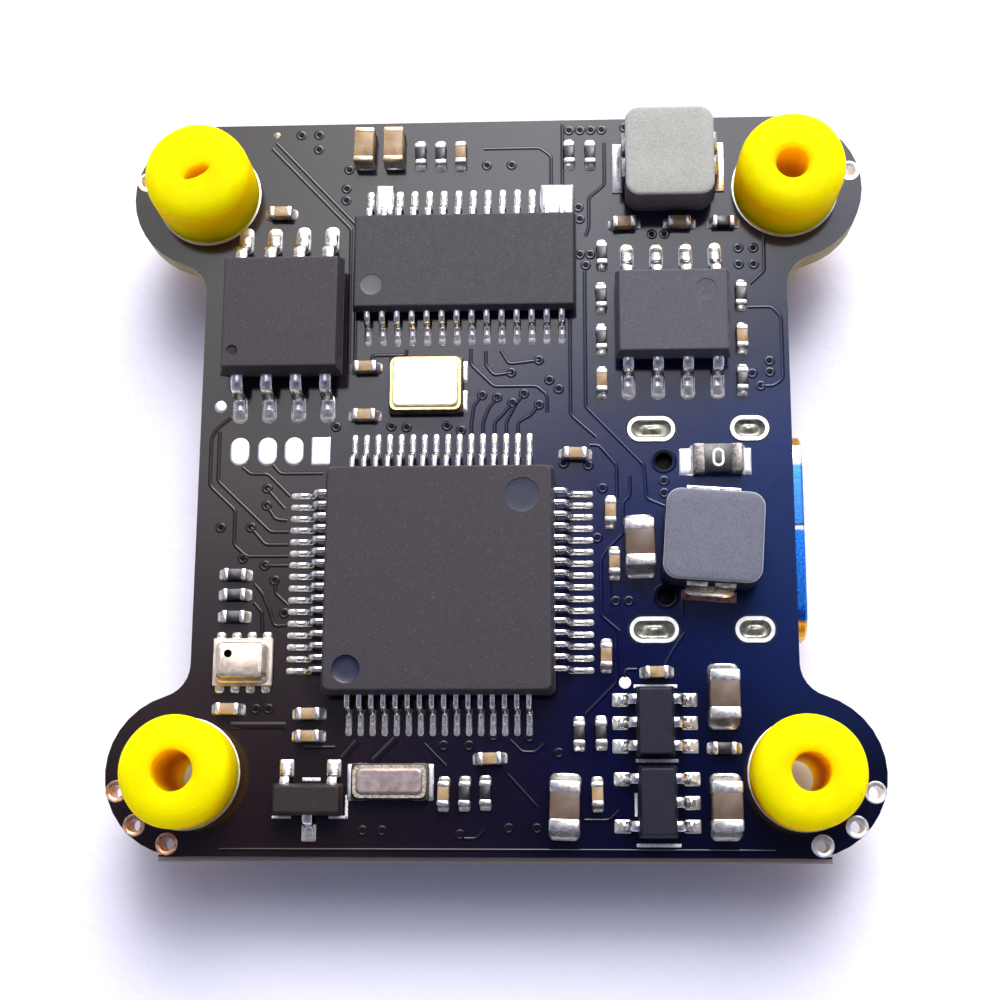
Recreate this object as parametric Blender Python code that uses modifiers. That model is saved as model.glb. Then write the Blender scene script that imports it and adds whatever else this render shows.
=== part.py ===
"""Flight controller board: a small square circuit board with soft mounts in its four ears.

The frame has its origin under the middle of the hole pattern, at the lowest point of the board's USB
socket. +X points to the socket's mouth, +Y to the back edge and +Z out of the component side. Sizes and
places below are in millimetres, and MM turns them into metres.
"""
import math

import bmesh
import bpy
from mathutils import Matrix, Vector

MM = 0.001

# The board and its soft mounts
BOARD_THICKNESS = 1.2
HOLE_PITCH = 25.5
EAR_RADIUS = 3.35
WAIST_HALF_WIDTH = 12.7
FILLET_RADIUS = 1.4
MOUNT_HOLE_DIAMETER = 3.2
SCORE_RIDGE = (27.6, 0.2, 0.4)
PLATED_HOLE_DIAMETER = 0.6
PLATED_HOLE_ORBIT = 2.92
PLATED_HOLE_ANGLES = (14.3, 46.0, 77.5)

GROMMET_DIAMETER = 4.6
GROMMET_BORE = 1.8
GROMMET_NECK = 3.1
GROMMET_REACH = 2.4
GROMMET_ROUND = 0.65
GROMMET_MOUTH_ROUND = 0.3

# The USB socket under the right edge
USB_WIDTH = 8.94
USB_HEIGHT = 3.2
USB_LENGTH = 7.35
USB_CORNER = 1.25
USB_WALL = 0.3
USB_FRONT_X = 13.27
USB_Y = -2.48
USB_TAB_X = (6.74, 10.92)
USB_TAB_WIDTHS = (1.1, 0.8)
USB_SLOT_LENGTHS = (1.7, 1.3)
USB_SLOT_WIDTH = 0.75
USB_TAB_Y = 4.32
USB_PEG_X = 7.25
USB_PEG_Y = 2.9
USB_PEG_HOLE = 0.8

SEAT_GAP = 0.02
BOARD_BOTTOM = USB_HEIGHT + SEAT_GAP
BOARD_TOP = BOARD_BOTTOM + BOARD_THICKNESS
HALF_PITCH = HOLE_PITCH / 2
BOARD_HALF = HALF_PITCH + EAR_RADIUS

CHIP_DRAFT = 0.12
MARK_DEPTH = 0.05
CAP_PROUD = 0.02

# Chip capacitors and resistors of the smallest size: centre x, y and how the part lies
SMALL_CAPACITORS = (
    (-9.45, 11.8, "across"), (-1.5, 14.45, "along"), (5.7, 11.1, "across"), (8.1, 11.1, "across"),
    (4.66, 3.9, "along"), (10.68, 5.8, "along"), (-5.55, 4.65, "across"), (-5.55, 2.5, "across"),
    (3.5, 0.72, "across"), (4.97, -1.8, "along"), (5.12, -4.0, "along"), (4.74, -7.9, "along"),
    (-11.0, -10.1, "across"), (-7.6, -10.3, "across"), (-7.6, -11.22, "across"),
    (-0.07, -12.13, "across"), (-1.96, -13.57, "along"), (6.81, -8.6, "across"),
    (4.33, -13.57, "along"),
)
SMALL_RESISTORS = (
    (-3.3, 14.48, "along"), (-2.4, 14.46, "along"), (10.69, 7.75, "along"), (4.66, 7.72, "along"),
    (-10.9, -4.42, "across"), (-10.9, -5.28, "across"), (-10.9, -6.21, "across"),
    (9.52, -11.7, "across"),
)

CERAMIC_TAN = (0.62, 0.43, 0.27)
CERAMIC_BROWN = (0.36, 0.24, 0.17)
RESISTOR_BLACK = (0.03, 0.03, 0.035)
MOULD_GREY = (0.07, 0.07, 0.09)


# ---------------------------------------------------------------- helpers

def make_collection(name):
    collection = bpy.data.collections.new(name)
    bpy.context.scene.collection.children.link(collection)
    return collection


def make_material(name, colour, roughness, metallic=0.0):
    material = bpy.data.materials.new(name)
    material.use_nodes = True
    shader = material.node_tree.nodes["Principled BSDF"]
    shader.inputs["Base Color"].default_value = (*colour, 1.0)
    shader.inputs["Roughness"].default_value = roughness
    shader.inputs["Metallic"].default_value = metallic
    material.diffuse_color = (*colour, 1.0)
    return material


def mesh_of(bm, name):
    mesh = bpy.data.meshes.new(name)
    bm.to_mesh(mesh)
    bm.free()
    return mesh


def add_box(bm, size, centre):
    scale = Matrix.Diagonal((size[0] * MM, size[1] * MM, size[2] * MM, 1.0))
    place = Matrix.Translation(Vector(centre) * MM) @ scale
    return bmesh.ops.create_cube(bm, size=1.0, matrix=place)["verts"]


def add_cylinder(bm, diameter, bottom, top, centre=(0.0, 0.0), sides=32):
    middle = Vector((centre[0], centre[1], (bottom + top) / 2)) * MM
    bmesh.ops.create_cone(
        bm, cap_ends=True, segments=sides, radius1=diameter / 2 * MM, radius2=diameter / 2 * MM,
        depth=(top - bottom) * MM, matrix=Matrix.Translation(middle))


def arc(centre, radius, start, stop, steps):
    """Points of an arc in degrees, both ends included."""
    angles = [math.radians(start + (stop - start) * i / steps) for i in range(steps + 1)]
    return [(centre[0] + radius * math.cos(a), centre[1] + radius * math.sin(a)) for a in angles]


def rounded_rectangle(width, height, radius, steps=4):
    x, y = width / 2 - radius, height / 2 - radius
    return (arc((x, y), radius, 0, 90, steps) + arc((-x, y), radius, 90, 180, steps)
            + arc((-x, -y), radius, 180, 270, steps) + arc((x, -y), radius, 270, 360, steps))


def outline_mesh(name, points, thickness):
    """A flat outline extruded evenly to both sides of its plane, as a closed mesh."""
    curve = bpy.data.curves.new(name, "CURVE")
    curve.dimensions = "2D"
    curve.fill_mode = "BOTH"
    curve.extrude = thickness / 2 * MM
    spline = curve.splines.new("POLY")
    spline.points.add(len(points) - 1)
    for point, (x, y) in zip(spline.points, points):
        point.co = (x * MM, y * MM, 0.0, 1.0)
    spline.use_cyclic_u = True
    source = bpy.data.objects.new(name, curve)
    bpy.context.scene.collection.objects.link(source)
    graph = bpy.context.evaluated_depsgraph_get()
    mesh = bpy.data.meshes.new_from_object(source.evaluated_get(graph))
    bpy.data.objects.remove(source)
    bm = bmesh.new()
    bm.from_mesh(mesh)
    bmesh.ops.remove_doubles(bm, verts=bm.verts, dist=1e-7)
    bmesh.ops.recalc_face_normals(bm, faces=bm.faces)
    bm.to_mesh(mesh)
    bm.free()
    return mesh


def add_mesh(bm, mesh, matrix):
    """Add a copy of a mesh, moved by a matrix whose shift is in millimetres."""
    place = matrix.copy()
    place.translation *= MM
    moved = mesh.copy()
    moved.transform(place)
    bm.from_mesh(moved)
    bpy.data.meshes.remove(moved)


class Builder:
    """Makes the parts, each with its own material, and the cutters that shape them."""

    def __init__(self):
        self.parts = make_collection("flight_controller_board")
        self.cutters = make_collection("cutters")
        self.frame = bpy.data.objects.new("board_frame", None)
        self.parts.objects.link(self.frame)

    def part(self, name, mesh, place, colour, roughness, metallic=0.0, turn=0.0, upside_down=False):
        mesh.name = name
        item = bpy.data.objects.new(name, mesh)
        item.location = Vector(place) * MM
        item.rotation_euler = (math.pi if upside_down else 0.0, 0.0, turn)
        item.parent = self.frame
        mesh.materials.append(make_material(name, colour, roughness, metallic))
        self.parts.objects.link(item)
        return item

    def shape(self, item, tool_mesh, operation):
        """Cut or join a part with a tool mesh given in the part's own axes."""
        tool = bpy.data.objects.new(f"{item.name}_{operation.lower()}", tool_mesh)
        tool.parent = item
        tool.hide_render = True
        tool.display_type = "WIRE"
        self.cutters.objects.link(tool)
        modifier = item.modifiers.new(tool.name, "BOOLEAN")
        modifier.operation = operation
        modifier.solver = "EXACT"
        modifier.object = tool

    def bevel(self, item, width, segments=1, angle=40.0):
        modifier = item.modifiers.new("bevel", "BEVEL")
        modifier.width = width * MM
        modifier.segments = segments
        modifier.limit_method = "ANGLE"
        modifier.angle_limit = math.radians(angle)


# ---------------------------------------------------------------- the board

def board_outline():
    """Ears of one radius around the mounting holes, each blended into the waist by a fillet."""
    reach = EAR_RADIUS + FILLET_RADIUS
    step_x = WAIST_HALF_WIDTH + FILLET_RADIUS - HALF_PITCH
    step_y = math.sqrt(reach ** 2 - step_x ** 2)
    meeting = math.degrees(math.atan2(-step_y, step_x))
    fillet_centre = (HALF_PITCH + step_x, HALF_PITCH - step_y)
    quarter = arc((HALF_PITCH, HALF_PITCH), EAR_RADIUS, 90, meeting, 16)
    quarter += arc(fillet_centre, FILLET_RADIUS, meeting + 180, 180, 6)[1:]
    right = quarter + [(x, -y) for x, y in reversed(quarter)]
    return right + [(-x, y) for x, y in reversed(right)]


def corners():
    """The four mounting holes, each with its name and the signs of its x and y."""
    for side_name, sign_y in (("back", 1), ("front", -1)):
        for end_name, sign_x in (("left", -1), ("right", 1)):
            yield f"{side_name}_{end_name}", sign_x, sign_y


def build_board(builder):
    solder_mask = (0.035, 0.037, 0.07)
    middle = (BOARD_BOTTOM + BOARD_TOP) / 2
    mesh = outline_mesh("circuit_board", board_outline(), BOARD_THICKNESS)
    board = builder.part("circuit_board", mesh, (0, 0, middle), solder_mask, 0.5)

    ridges = bmesh.new()
    length, reach, height = SCORE_RIDGE
    overlap = 0.07
    centre_y = BOARD_HALF + (reach - overlap) / 2
    for sign in (1, -1):
        add_box(ridges, (length, reach + overlap, height), (0, sign * centre_y, 0))
    builder.shape(board, mesh_of(ridges, "score_ridges"), "UNION")

    past = BOARD_THICKNESS
    holes = bmesh.new()
    for _, sign_x, sign_y in corners():
        centre_x, centre_y = sign_x * HALF_PITCH, sign_y * HALF_PITCH
        add_cylinder(holes, MOUNT_HOLE_DIAMETER, -past, past, (centre_x, centre_y), 40)
        for degrees in PLATED_HOLE_ANGLES:
            angle = math.radians(degrees)
            x = centre_x + sign_x * PLATED_HOLE_ORBIT * math.cos(angle)
            y = centre_y + sign_y * PLATED_HOLE_ORBIT * math.sin(angle)
            add_cylinder(holes, PLATED_HOLE_DIAMETER, -past, past, (x, y), 12)
    for x, length in zip(USB_TAB_X, USB_SLOT_LENGTHS):
        outline = rounded_rectangle(length, USB_SLOT_WIDTH, USB_SLOT_WIDTH / 2 - 0.001)
        slot = outline_mesh("slot", outline, 2 * past)
        for sign in (1, -1):
            add_mesh(holes, slot, Matrix.Translation((x, USB_Y + sign * USB_TAB_Y, 0)))
    for sign in (1, -1):
        add_cylinder(holes, USB_PEG_HOLE, -past, past, (USB_PEG_X, USB_Y + sign * USB_PEG_Y), 16)
    builder.shape(board, mesh_of(holes, "board_holes"), "DIFFERENCE")


def grommet_profile():
    """Half section of a soft mount, from the bore's middle round the upper flange to the lower."""
    outer, bore, neck = GROMMET_DIAMETER / 2, GROMMET_BORE / 2, GROMMET_NECK / 2
    seat = BOARD_THICKNESS / 2 + SEAT_GAP
    top = BOARD_THICKNESS / 2 + GROMMET_REACH
    mouth = arc((bore + GROMMET_MOUTH_ROUND, top - GROMMET_MOUTH_ROUND), GROMMET_MOUTH_ROUND, 180, 90, 3)
    rim = arc((outer - GROMMET_ROUND, top - GROMMET_ROUND), GROMMET_ROUND, 90, 0, 5)
    upper = mouth + rim + [(outer, seat), (neck, seat)]
    return upper + [(radius, -height) for radius, height in reversed(upper)]


def build_grommets(builder):
    silicone = (0.95, 0.78, 0.0)
    profile = grommet_profile()
    for name, sign_x, sign_y in corners():
        bm = bmesh.new()
        verts = [bm.verts.new((radius * MM, 0, height * MM)) for radius, height in profile]
        for first, second in zip(verts, verts[1:] + verts[:1]):
            bm.edges.new((first, second))
        place = (sign_x * HALF_PITCH, sign_y * HALF_PITCH, (BOARD_BOTTOM + BOARD_TOP) / 2)
        grommet = builder.part(f"grommet_{name}", mesh_of(bm, "profile"), place, silicone, 0.6)
        turn = grommet.modifiers.new("turn", "SCREW")
        turn.steps = 32
        turn.render_steps = 32
        turn.use_merge_vertices = True
        turn.merge_threshold = 1e-7


# ---------------------------------------------------------------- moulded chips with leads

def lead_mesh(width, thickness, shoulder_height, shoulder, reach):
    """One gull-wing lead: out of the body at its shoulder, down, and along the board to its tip."""
    inside = 0.2
    half = thickness / 2
    knee = shoulder + 0.3 * shoulder_height
    points = [
        (-inside, shoulder_height + half), (shoulder, shoulder_height + half), (knee, thickness),
        (reach, thickness), (reach, 0.0), (knee - thickness * 0.7, 0.0),
        (shoulder - thickness * 0.7, shoulder_height - half), (-inside, shoulder_height - half),
    ]
    return outline_mesh("lead", points, width)


def build_chip(builder, name, place, body, leads, colour=MOULD_GREY, marks=(), turn=0.0):
    """A moulded body with drafted sides, and leads at the given places along each side.

    body: length, width, height and standoff. leads: dict with the lead's width, thickness, shoulder and
    reach, and for each side, named by the direction that it faces, the places along it.
    """
    length, width, height, standoff = body
    draft = CHIP_DRAFT * height
    seam = standoff + height / 2
    bm = bmesh.new()
    add_box(bm, (length, width, height), (0, 0, seam))
    geometry = bm.verts[:] + bm.edges[:] + bm.faces[:]
    bmesh.ops.bisect_plane(bm, geom=geometry, plane_co=(0, 0, seam * MM), plane_no=(0, 0, 1))
    for vert in bm.verts:
        if abs(vert.co.z - seam * MM) > height / 4 * MM:
            vert.co.x *= 1 - 2 * draft / length
            vert.co.y *= 1 - 2 * draft / width
    item = builder.part(name, mesh_of(bm, name), (*place, BOARD_TOP + SEAT_GAP), colour, 0.6, turn=turn)
    builder.bevel(item, 0.05)

    lead = lead_mesh(leads["width"], leads["thickness"], seam, leads["shoulder"], leads["reach"])
    stand = Matrix.Rotation(math.pi / 2, 4, "X")
    row = bmesh.new()
    for side, heading in (("+x", 0), ("+y", 90), ("-x", 180), ("-y", 270)):
        half_span = (length if side[1] == "x" else width) / 2
        for along in leads.get(side, ()):
            spin = Matrix.Rotation(math.radians(heading), 4, "Z")
            shift = Vector((0, along, 0)) if side[1] == "x" else Vector((along, 0, 0))
            out = Matrix.Translation((half_span, 0, 0))
            add_mesh(row, lead, Matrix.Translation(shift) @ spin @ out @ stand)
    builder.shape(item, mesh_of(row, "leads"), "UNION")

    if marks:
        cutter = bmesh.new()
        top = standoff + height
        for x, y, diameter in marks:
            add_cylinder(cutter, diameter, top - MARK_DEPTH, top + 4 * MARK_DEPTH, (x, y), 20)
        builder.shape(item, mesh_of(cutter, "marks"), "DIFFERENCE")


def spread(count, pitch, centre=0.0):
    return [centre + (i - (count - 1) / 2) * pitch for i in range(count)]


def build_chips(builder):
    quad = spread(16, 0.5)
    build_chip(
        builder, "processor_chip", (-2.2, -4.75), (9.7, 9.7, 1.4, 0.1),
        {"width": 0.22, "thickness": 0.13, "shoulder": 0.45, "reach": 1.2,
         "+x": quad, "-x": quad, "+y": quad, "-y": quad},
        marks=((3.49, 3.43, 1.47), (-3.73, -3.83, 1.17)))
    rows = spread(14, 0.65)
    build_chip(
        builder, "display_chip", (-1.27, 9.24), (9.7, 4.4, 0.95, 0.1),
        {"width": 0.25, "thickness": 0.13, "shoulder": 0.42, "reach": 1.0, "+y": rows, "-y": rows},
        marks=((-4.0, -1.1, 0.95),))
    wide = spread(4, 1.27)
    build_chip(
        builder, "memory_chip", (-9.08, 6.72), (5.28, 5.28, 1.7, 0.15),
        {"width": 0.45, "thickness": 0.2, "shoulder": 0.55, "reach": 1.35, "+y": wide, "-y": wide},
        marks=((-2.0, -1.75, 0.5),))
    build_chip(
        builder, "converter_chip", (7.7, 6.67), (4.9, 3.9, 1.4, 0.15),
        {"width": 0.43, "thickness": 0.2, "shoulder": 0.35, "reach": 1.1, "+y": wide, "-y": wide},
        marks=((1.39, 0.88, 0.95),))
    small = {"width": 0.42, "thickness": 0.15, "shoulder": 0.25, "reach": 0.62}
    build_chip(
        builder, "transistor_three_lead", (-7.5, -13.82), (2.9, 1.3, 1.0, 0.05),
        {**small, "+y": (-0.98, 0.98), "-y": (0.0,)})
    build_chip(
        builder, "driver_six_lead", (6.71, -10.67), (1.6, 2.9, 1.05, 0.05),
        {**small, "+x": spread(3, 0.95), "-x": spread(3, 0.95)})
    build_chip(
        builder, "supply_five_lead", (6.76, -13.9), (1.6, 2.9, 1.05, 0.05),
        {**small, "+x": spread(3, 0.95), "-x": (-0.95, 0.95)})


# ---------------------------------------------------------------- chips with end caps

def build_end_cap_part(builder, name, place, size, cap, colour, lies, upside_down=False):
    """A ceramic block between two metal end caps that stand slightly proud of it."""
    length, width, height = size
    block_height = height - CAP_PROUD
    bm = bmesh.new()
    add_box(bm, (length - cap, width, block_height), (0, 0, block_height / 2))
    turn = math.pi / 2 if lies == "along" else 0.0
    z = BOARD_BOTTOM - SEAT_GAP if upside_down else BOARD_TOP + SEAT_GAP
    item = builder.part(name, mesh_of(bm, name), (*place, z), colour, 0.45, turn=turn,
                        upside_down=upside_down)
    caps = bmesh.new()
    for sign in (1, -1):
        centre = (sign * (length - cap) / 2, 0, height / 2)
        add_box(caps, (cap, width + 2 * CAP_PROUD, height), centre)
    builder.shape(item, mesh_of(caps, "caps"), "UNION")


def build_passives(builder):
    bulk = ((6.18, -3.28), (3.0, -14.07), (9.53, -9.58), (9.53, -14.07))
    for number, place in enumerate(bulk, 1):
        build_end_cap_part(builder, f"bulk_capacitor_{number}", place, (2.0, 1.2, 1.2), 0.5,
                           CERAMIC_BROWN, "along")
    for number, place in enumerate(((-5.76, 14.76), (-4.46, 14.76)), 1):
        build_end_cap_part(builder, f"filter_capacitor_{number}", place, (1.6, 0.85, 0.85), 0.3,
                           CERAMIC_TAN, "along")
    build_end_cap_part(builder, "link_resistor", (9.53, 0.44), (2.1, 1.2, 0.55), 0.5,
                       RESISTOR_BLACK, "across")
    for number, (x, y, lies) in enumerate(SMALL_CAPACITORS, 1):
        build_end_cap_part(builder, f"small_capacitor_{number:02d}", (x, y), (1.0, 0.46, 0.5), 0.25,
                           CERAMIC_TAN, lies)
    for number, (x, y, lies) in enumerate(SMALL_RESISTORS, 1):
        build_end_cap_part(builder, f"small_resistor_{number:02d}", (x, y), (1.0, 0.46, 0.37), 0.25,
                           RESISTOR_BLACK, lies)


# ---------------------------------------------------------------- inductors, cans and the sensor

def build_inductor(builder, name, place, colour, turn):
    """A moulded power inductor: a rounded block with a strap terminal up each end."""
    length, width, height, corner = 3.85, 4.1, 2.0, 0.7
    strap_width, strap_reach, strap_height, foot, foot_height = 2.1, 0.12, 1.5, 0.35, 0.15
    mesh = outline_mesh(name, rounded_rectangle(length, width, corner), height)
    lift = BOARD_TOP + SEAT_GAP + height / 2
    item = builder.part(name, mesh, (*place, lift), colour, 0.4, turn=turn)
    builder.bevel(item, 0.1, angle=60.0)
    profile = [(-strap_reach, 0), (foot, 0), (foot, foot_height), (strap_reach, foot_height),
               (strap_reach, strap_height), (-strap_reach, strap_height)]
    strap = outline_mesh("strap", profile, strap_width)
    stand = Matrix.Rotation(math.pi / 2, 4, "X")
    straps = bmesh.new()
    for half_turn in (0, math.pi):
        spin = Matrix.Rotation(half_turn, 4, "Z")
        add_mesh(straps, strap, spin @ Matrix.Translation((length / 2, 0, -height / 2)) @ stand)
    builder.shape(item, mesh_of(straps, "straps"), "UNION")


def build_can(builder, name, place, base, lid, colour):
    """A ceramic package with a raised metal lid, both as one sealed part."""
    bm = bmesh.new()
    add_box(bm, base, (0, 0, base[2] / 2))
    item = builder.part(name, mesh_of(bm, name), (*place, BOARD_TOP + SEAT_GAP), colour, 0.3, 0.8)
    raised = bmesh.new()
    outline = rounded_rectangle(lid[0], lid[1], 0.25)
    overlap = 0.1
    lid_mesh = outline_mesh("lid", outline, lid[2] + overlap)
    add_mesh(raised, lid_mesh, Matrix.Translation((0, 0, base[2] + (lid[2] - overlap) / 2)))
    builder.shape(item, mesh_of(raised, "lid"), "UNION")


def build_pressure_sensor(builder):
    place = (-10.45, -8.13)
    base_height, wall = 0.25, 0.1
    bm = bmesh.new()
    add_box(bm, (2.5, 2.0, base_height), (0, 0, base_height / 2))
    builder.part("pressure_sensor_base", mesh_of(bm, "base"), (*place, BOARD_TOP + SEAT_GAP),
                 (0.75, 0.72, 0.62), 0.5)
    length, width, height, slope = 2.3, 1.8, 0.68, 0.18
    bm = bmesh.new()
    for vert in add_box(bm, (length, width, height), (0, 0, height / 2)):
        if vert.co.z > height / 2 * MM:
            vert.co.x -= math.copysign(slope * MM, vert.co.x)
            vert.co.y -= math.copysign(slope * MM, vert.co.y)
    lift = BOARD_TOP + SEAT_GAP + base_height + SEAT_GAP
    lid = builder.part("pressure_sensor_lid", mesh_of(bm, "lid"), (*place, lift),
                       (0.8, 0.76, 0.68), 0.3, 0.9)
    builder.bevel(lid, 0.08, segments=2)
    hollow = bmesh.new()
    add_box(hollow, (length - 2 * slope - 2 * wall, width - 2 * slope - 2 * wall, 2 * (height - wall)),
            (0, 0, 0))
    builder.shape(lid, mesh_of(hollow, "hollow"), "DIFFERENCE")
    vent = bmesh.new()
    add_cylinder(vent, 0.33, height / 2, 1.5 * height, (-0.48, 0.26), 16)
    builder.shape(lid, mesh_of(vent, "vent"), "DIFFERENCE")


# ---------------------------------------------------------------- under the board

def build_usb_socket(builder):
    """A metal tube with four soldered tabs, and the moulding with its tongue inside it."""
    stand = Matrix.Rotation(math.pi / 2, 4, "Z") @ Matrix.Rotation(math.pi / 2, 4, "X")
    centre_x = USB_FRONT_X - USB_LENGTH / 2
    centre_z = USB_HEIGHT / 2
    outline = rounded_rectangle(USB_WIDTH, USB_HEIGHT, USB_CORNER, 5)
    tube = bmesh.new()
    add_mesh(tube, outline_mesh("tube", outline, USB_LENGTH), stand)
    shell = builder.part("usb_shell", mesh_of(tube, "tube"), (centre_x, USB_Y, centre_z),
                         (0.75, 0.76, 0.8), 0.25, 1.0)

    tabs = bmesh.new()
    tab_thickness = 0.24
    tab_bottom, tab_top = 0.1, BOARD_TOP - 0.15 - centre_z
    for x, width in zip(USB_TAB_X, USB_TAB_WIDTHS):
        for sign in (1, -1):
            y = sign * (USB_WIDTH - USB_WALL) / 2
            add_box(tabs, (width, tab_thickness, tab_top - tab_bottom),
                    (x - centre_x, y, (tab_top + tab_bottom) / 2))
    builder.shape(shell, mesh_of(tabs, "tabs"), "UNION")

    inner = rounded_rectangle(USB_WIDTH - 2 * USB_WALL, USB_HEIGHT - 2 * USB_WALL,
                              USB_CORNER - USB_WALL, 5)
    hollow = bmesh.new()
    add_mesh(hollow, outline_mesh("hollow", inner, USB_LENGTH + 2.0), stand)
    builder.shape(shell, mesh_of(hollow, "hollow"), "DIFFERENCE")
    window = bmesh.new()
    add_box(window, (4.0, 6.8, USB_HEIGHT), (-USB_LENGTH / 2, 0, USB_HEIGHT / 2))
    builder.shape(shell, mesh_of(window, "window"), "DIFFERENCE")

    clear = 0.04
    core_length, tongue_length, tongue_width, tongue_height = 2.6, 3.9, 6.69, 0.7
    plug_outline = rounded_rectangle(USB_WIDTH - 2 * (USB_WALL + clear), USB_HEIGHT - 2 * (USB_WALL + clear),
                                     USB_CORNER - USB_WALL - clear, 5)
    core = bmesh.new()
    rear = -USB_LENGTH / 2
    add_mesh(core, outline_mesh("core", plug_outline, core_length),
             Matrix.Translation((rear + core_length / 2 + 0.1, 0, 0)) @ stand)
    insulator = builder.part("usb_insulator", mesh_of(core, "core"), (centre_x, USB_Y, centre_z),
                             (0.03, 0.03, 0.035), 0.5)
    details = bmesh.new()
    add_box(details, (tongue_length + 0.3, tongue_width, tongue_height),
            (rear + core_length + (tongue_length - 0.3) / 2 + 0.1, 0, 0))
    peg_top = BOARD_TOP - BOARD_THICKNESS / 2 - centre_z
    for sign in (1, -1):
        add_cylinder(details, USB_PEG_HOLE - 0.1, 1.0, peg_top,
                     (USB_PEG_X - centre_x, sign * USB_PEG_Y), 16)
    builder.shape(insulator, mesh_of(details, "tongue_and_pegs"), "UNION")


def build_boot_button(builder):
    """A push button: its plunger sinks into the base, and a metal cover keeps it in."""
    x, y = -1.5, -12.2
    surface = BOARD_BOTTOM - SEAT_GAP
    length, width, base_height, floor = 3.2, 2.6, 0.65, 0.25
    pocket, window, flange, stem = 1.9, 1.3, 1.7, 1.15
    bm = bmesh.new()
    add_box(bm, (length, width, base_height), (0, 0, base_height / 2))
    base = builder.part("boot_button_base", mesh_of(bm, "base"), (x, y, surface),
                        (0.04, 0.04, 0.045), 0.5, upside_down=True)
    cutter = bmesh.new()
    add_cylinder(cutter, pocket, floor, 2 * base_height, sides=24)
    builder.shape(base, mesh_of(cutter, "pocket"), "DIFFERENCE")

    plate = 0.15
    bm = bmesh.new()
    add_box(bm, (length, width, plate), (0, 0, base_height + 0.01 + plate / 2))
    cover = builder.part("boot_button_cover", mesh_of(bm, "cover"), (x, y, surface),
                         (0.75, 0.75, 0.77), 0.3, 1.0, upside_down=True)
    cutter = bmesh.new()
    add_cylinder(cutter, window, base_height - 0.2, base_height + 0.4, sides=24)
    builder.shape(cover, mesh_of(cutter, "window"), "DIFFERENCE")

    flange_bottom, flange_top, stem_top = 0.52, 0.64, 1.15
    bm = bmesh.new()
    add_cylinder(bm, flange, flange_bottom, flange_top, sides=24)
    plunger = builder.part("boot_button_plunger", mesh_of(bm, "plunger"), (x, y, surface),
                           (0.75, 0.72, 0.65), 0.5, upside_down=True)
    upper = bmesh.new()
    add_cylinder(upper, stem, flange_bottom + 0.05, stem_top, sides=24)
    builder.shape(plunger, mesh_of(upper, "stem"), "UNION")


def build_socket(builder):
    """A side-entry socket for the motor controller's cable, with its mouth over the left edge."""
    depth, width, height = 4.25, 10.0, 2.9
    bm = bmesh.new()
    add_box(bm, (depth, width, height), (0, 0, height / 2))
    socket = builder.part("cable_socket", mesh_of(bm, "socket"), (-10.3, 0.0, BOARD_BOTTOM - SEAT_GAP),
                          (0.85, 0.83, 0.76), 0.5, upside_down=True)
    cavity_depth, cavity_width, cavity_height = 3.3, 8.6, 1.9
    key_width, key_height = 6.0, 0.35
    cavity = bmesh.new()
    past = 0.5
    centre_x = -depth / 2 + (cavity_depth - past) / 2
    add_box(cavity, (cavity_depth + past, cavity_width, cavity_height), (centre_x, 0, height / 2))
    builder.shape(socket, mesh_of(cavity, "cavity"), "DIFFERENCE")
    key = bmesh.new()
    key_z = (height + cavity_height) / 2
    add_box(key, (cavity_depth + past, key_width, 2 * key_height), (centre_x, 0, key_z))
    builder.shape(socket, mesh_of(key, "key"), "DIFFERENCE")


def build_motion_sensor(builder):
    bm = bmesh.new()
    add_box(bm, (3.0, 2.5, 0.86), (0, 0, 0.43))
    builder.part("motion_sensor", mesh_of(bm, "sensor"), (0.0, 3.0, BOARD_BOTTOM - SEAT_GAP),
                 MOULD_GREY, 0.6, upside_down=True)


def build_underside(builder):
    build_usb_socket(builder)
    build_boot_button(builder)
    build_socket(builder)
    build_motion_sensor(builder)
    build_end_cap_part(builder, "status_light", (8.0, 8.0), (1.6, 0.8, 0.6), 0.3,
                       (0.55, 0.75, 0.6), "across", upside_down=True)


def main():
    for item in list(bpy.data.objects):
        bpy.data.objects.remove(item)
    builder = Builder()
    build_board(builder)
    build_grommets(builder)
    build_chips(builder)
    build_passives(builder)
    build_inductor(builder, "power_inductor_back", (7.65, 13.72), (0.78, 0.78, 0.75), 0.0)
    build_inductor(builder, "power_inductor_right", (9.18, -3.18), (0.5, 0.5, 0.62), math.radians(86.0))
    build_can(builder, "gold_oscillator", (-2.9, 3.8), (3.2, 2.5, 0.4), (3.06, 2.36, 0.35), (0.9, 0.7, 0.35))
    build_can(builder, "clock_crystal", (-4.17, -13.08), (3.2, 1.5, 0.35), (2.85, 1.15, 0.3),
              (0.75, 0.73, 0.68))
    build_pressure_sensor(builder)
    build_underside(builder)


main()
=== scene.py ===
"""Looks of the flight controller board: fine pieces, materials, light and camera around the fixed frame.

Sizes and places are in millimetres in the frame's own axes, and MM turns them into metres. Places of
the parts come from the frame's boxes. Colours are screen colours of 0 to 255, unless called linear.
"""
import math
import random

import bmesh
import bpy
from mathutils import Matrix, Vector


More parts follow.
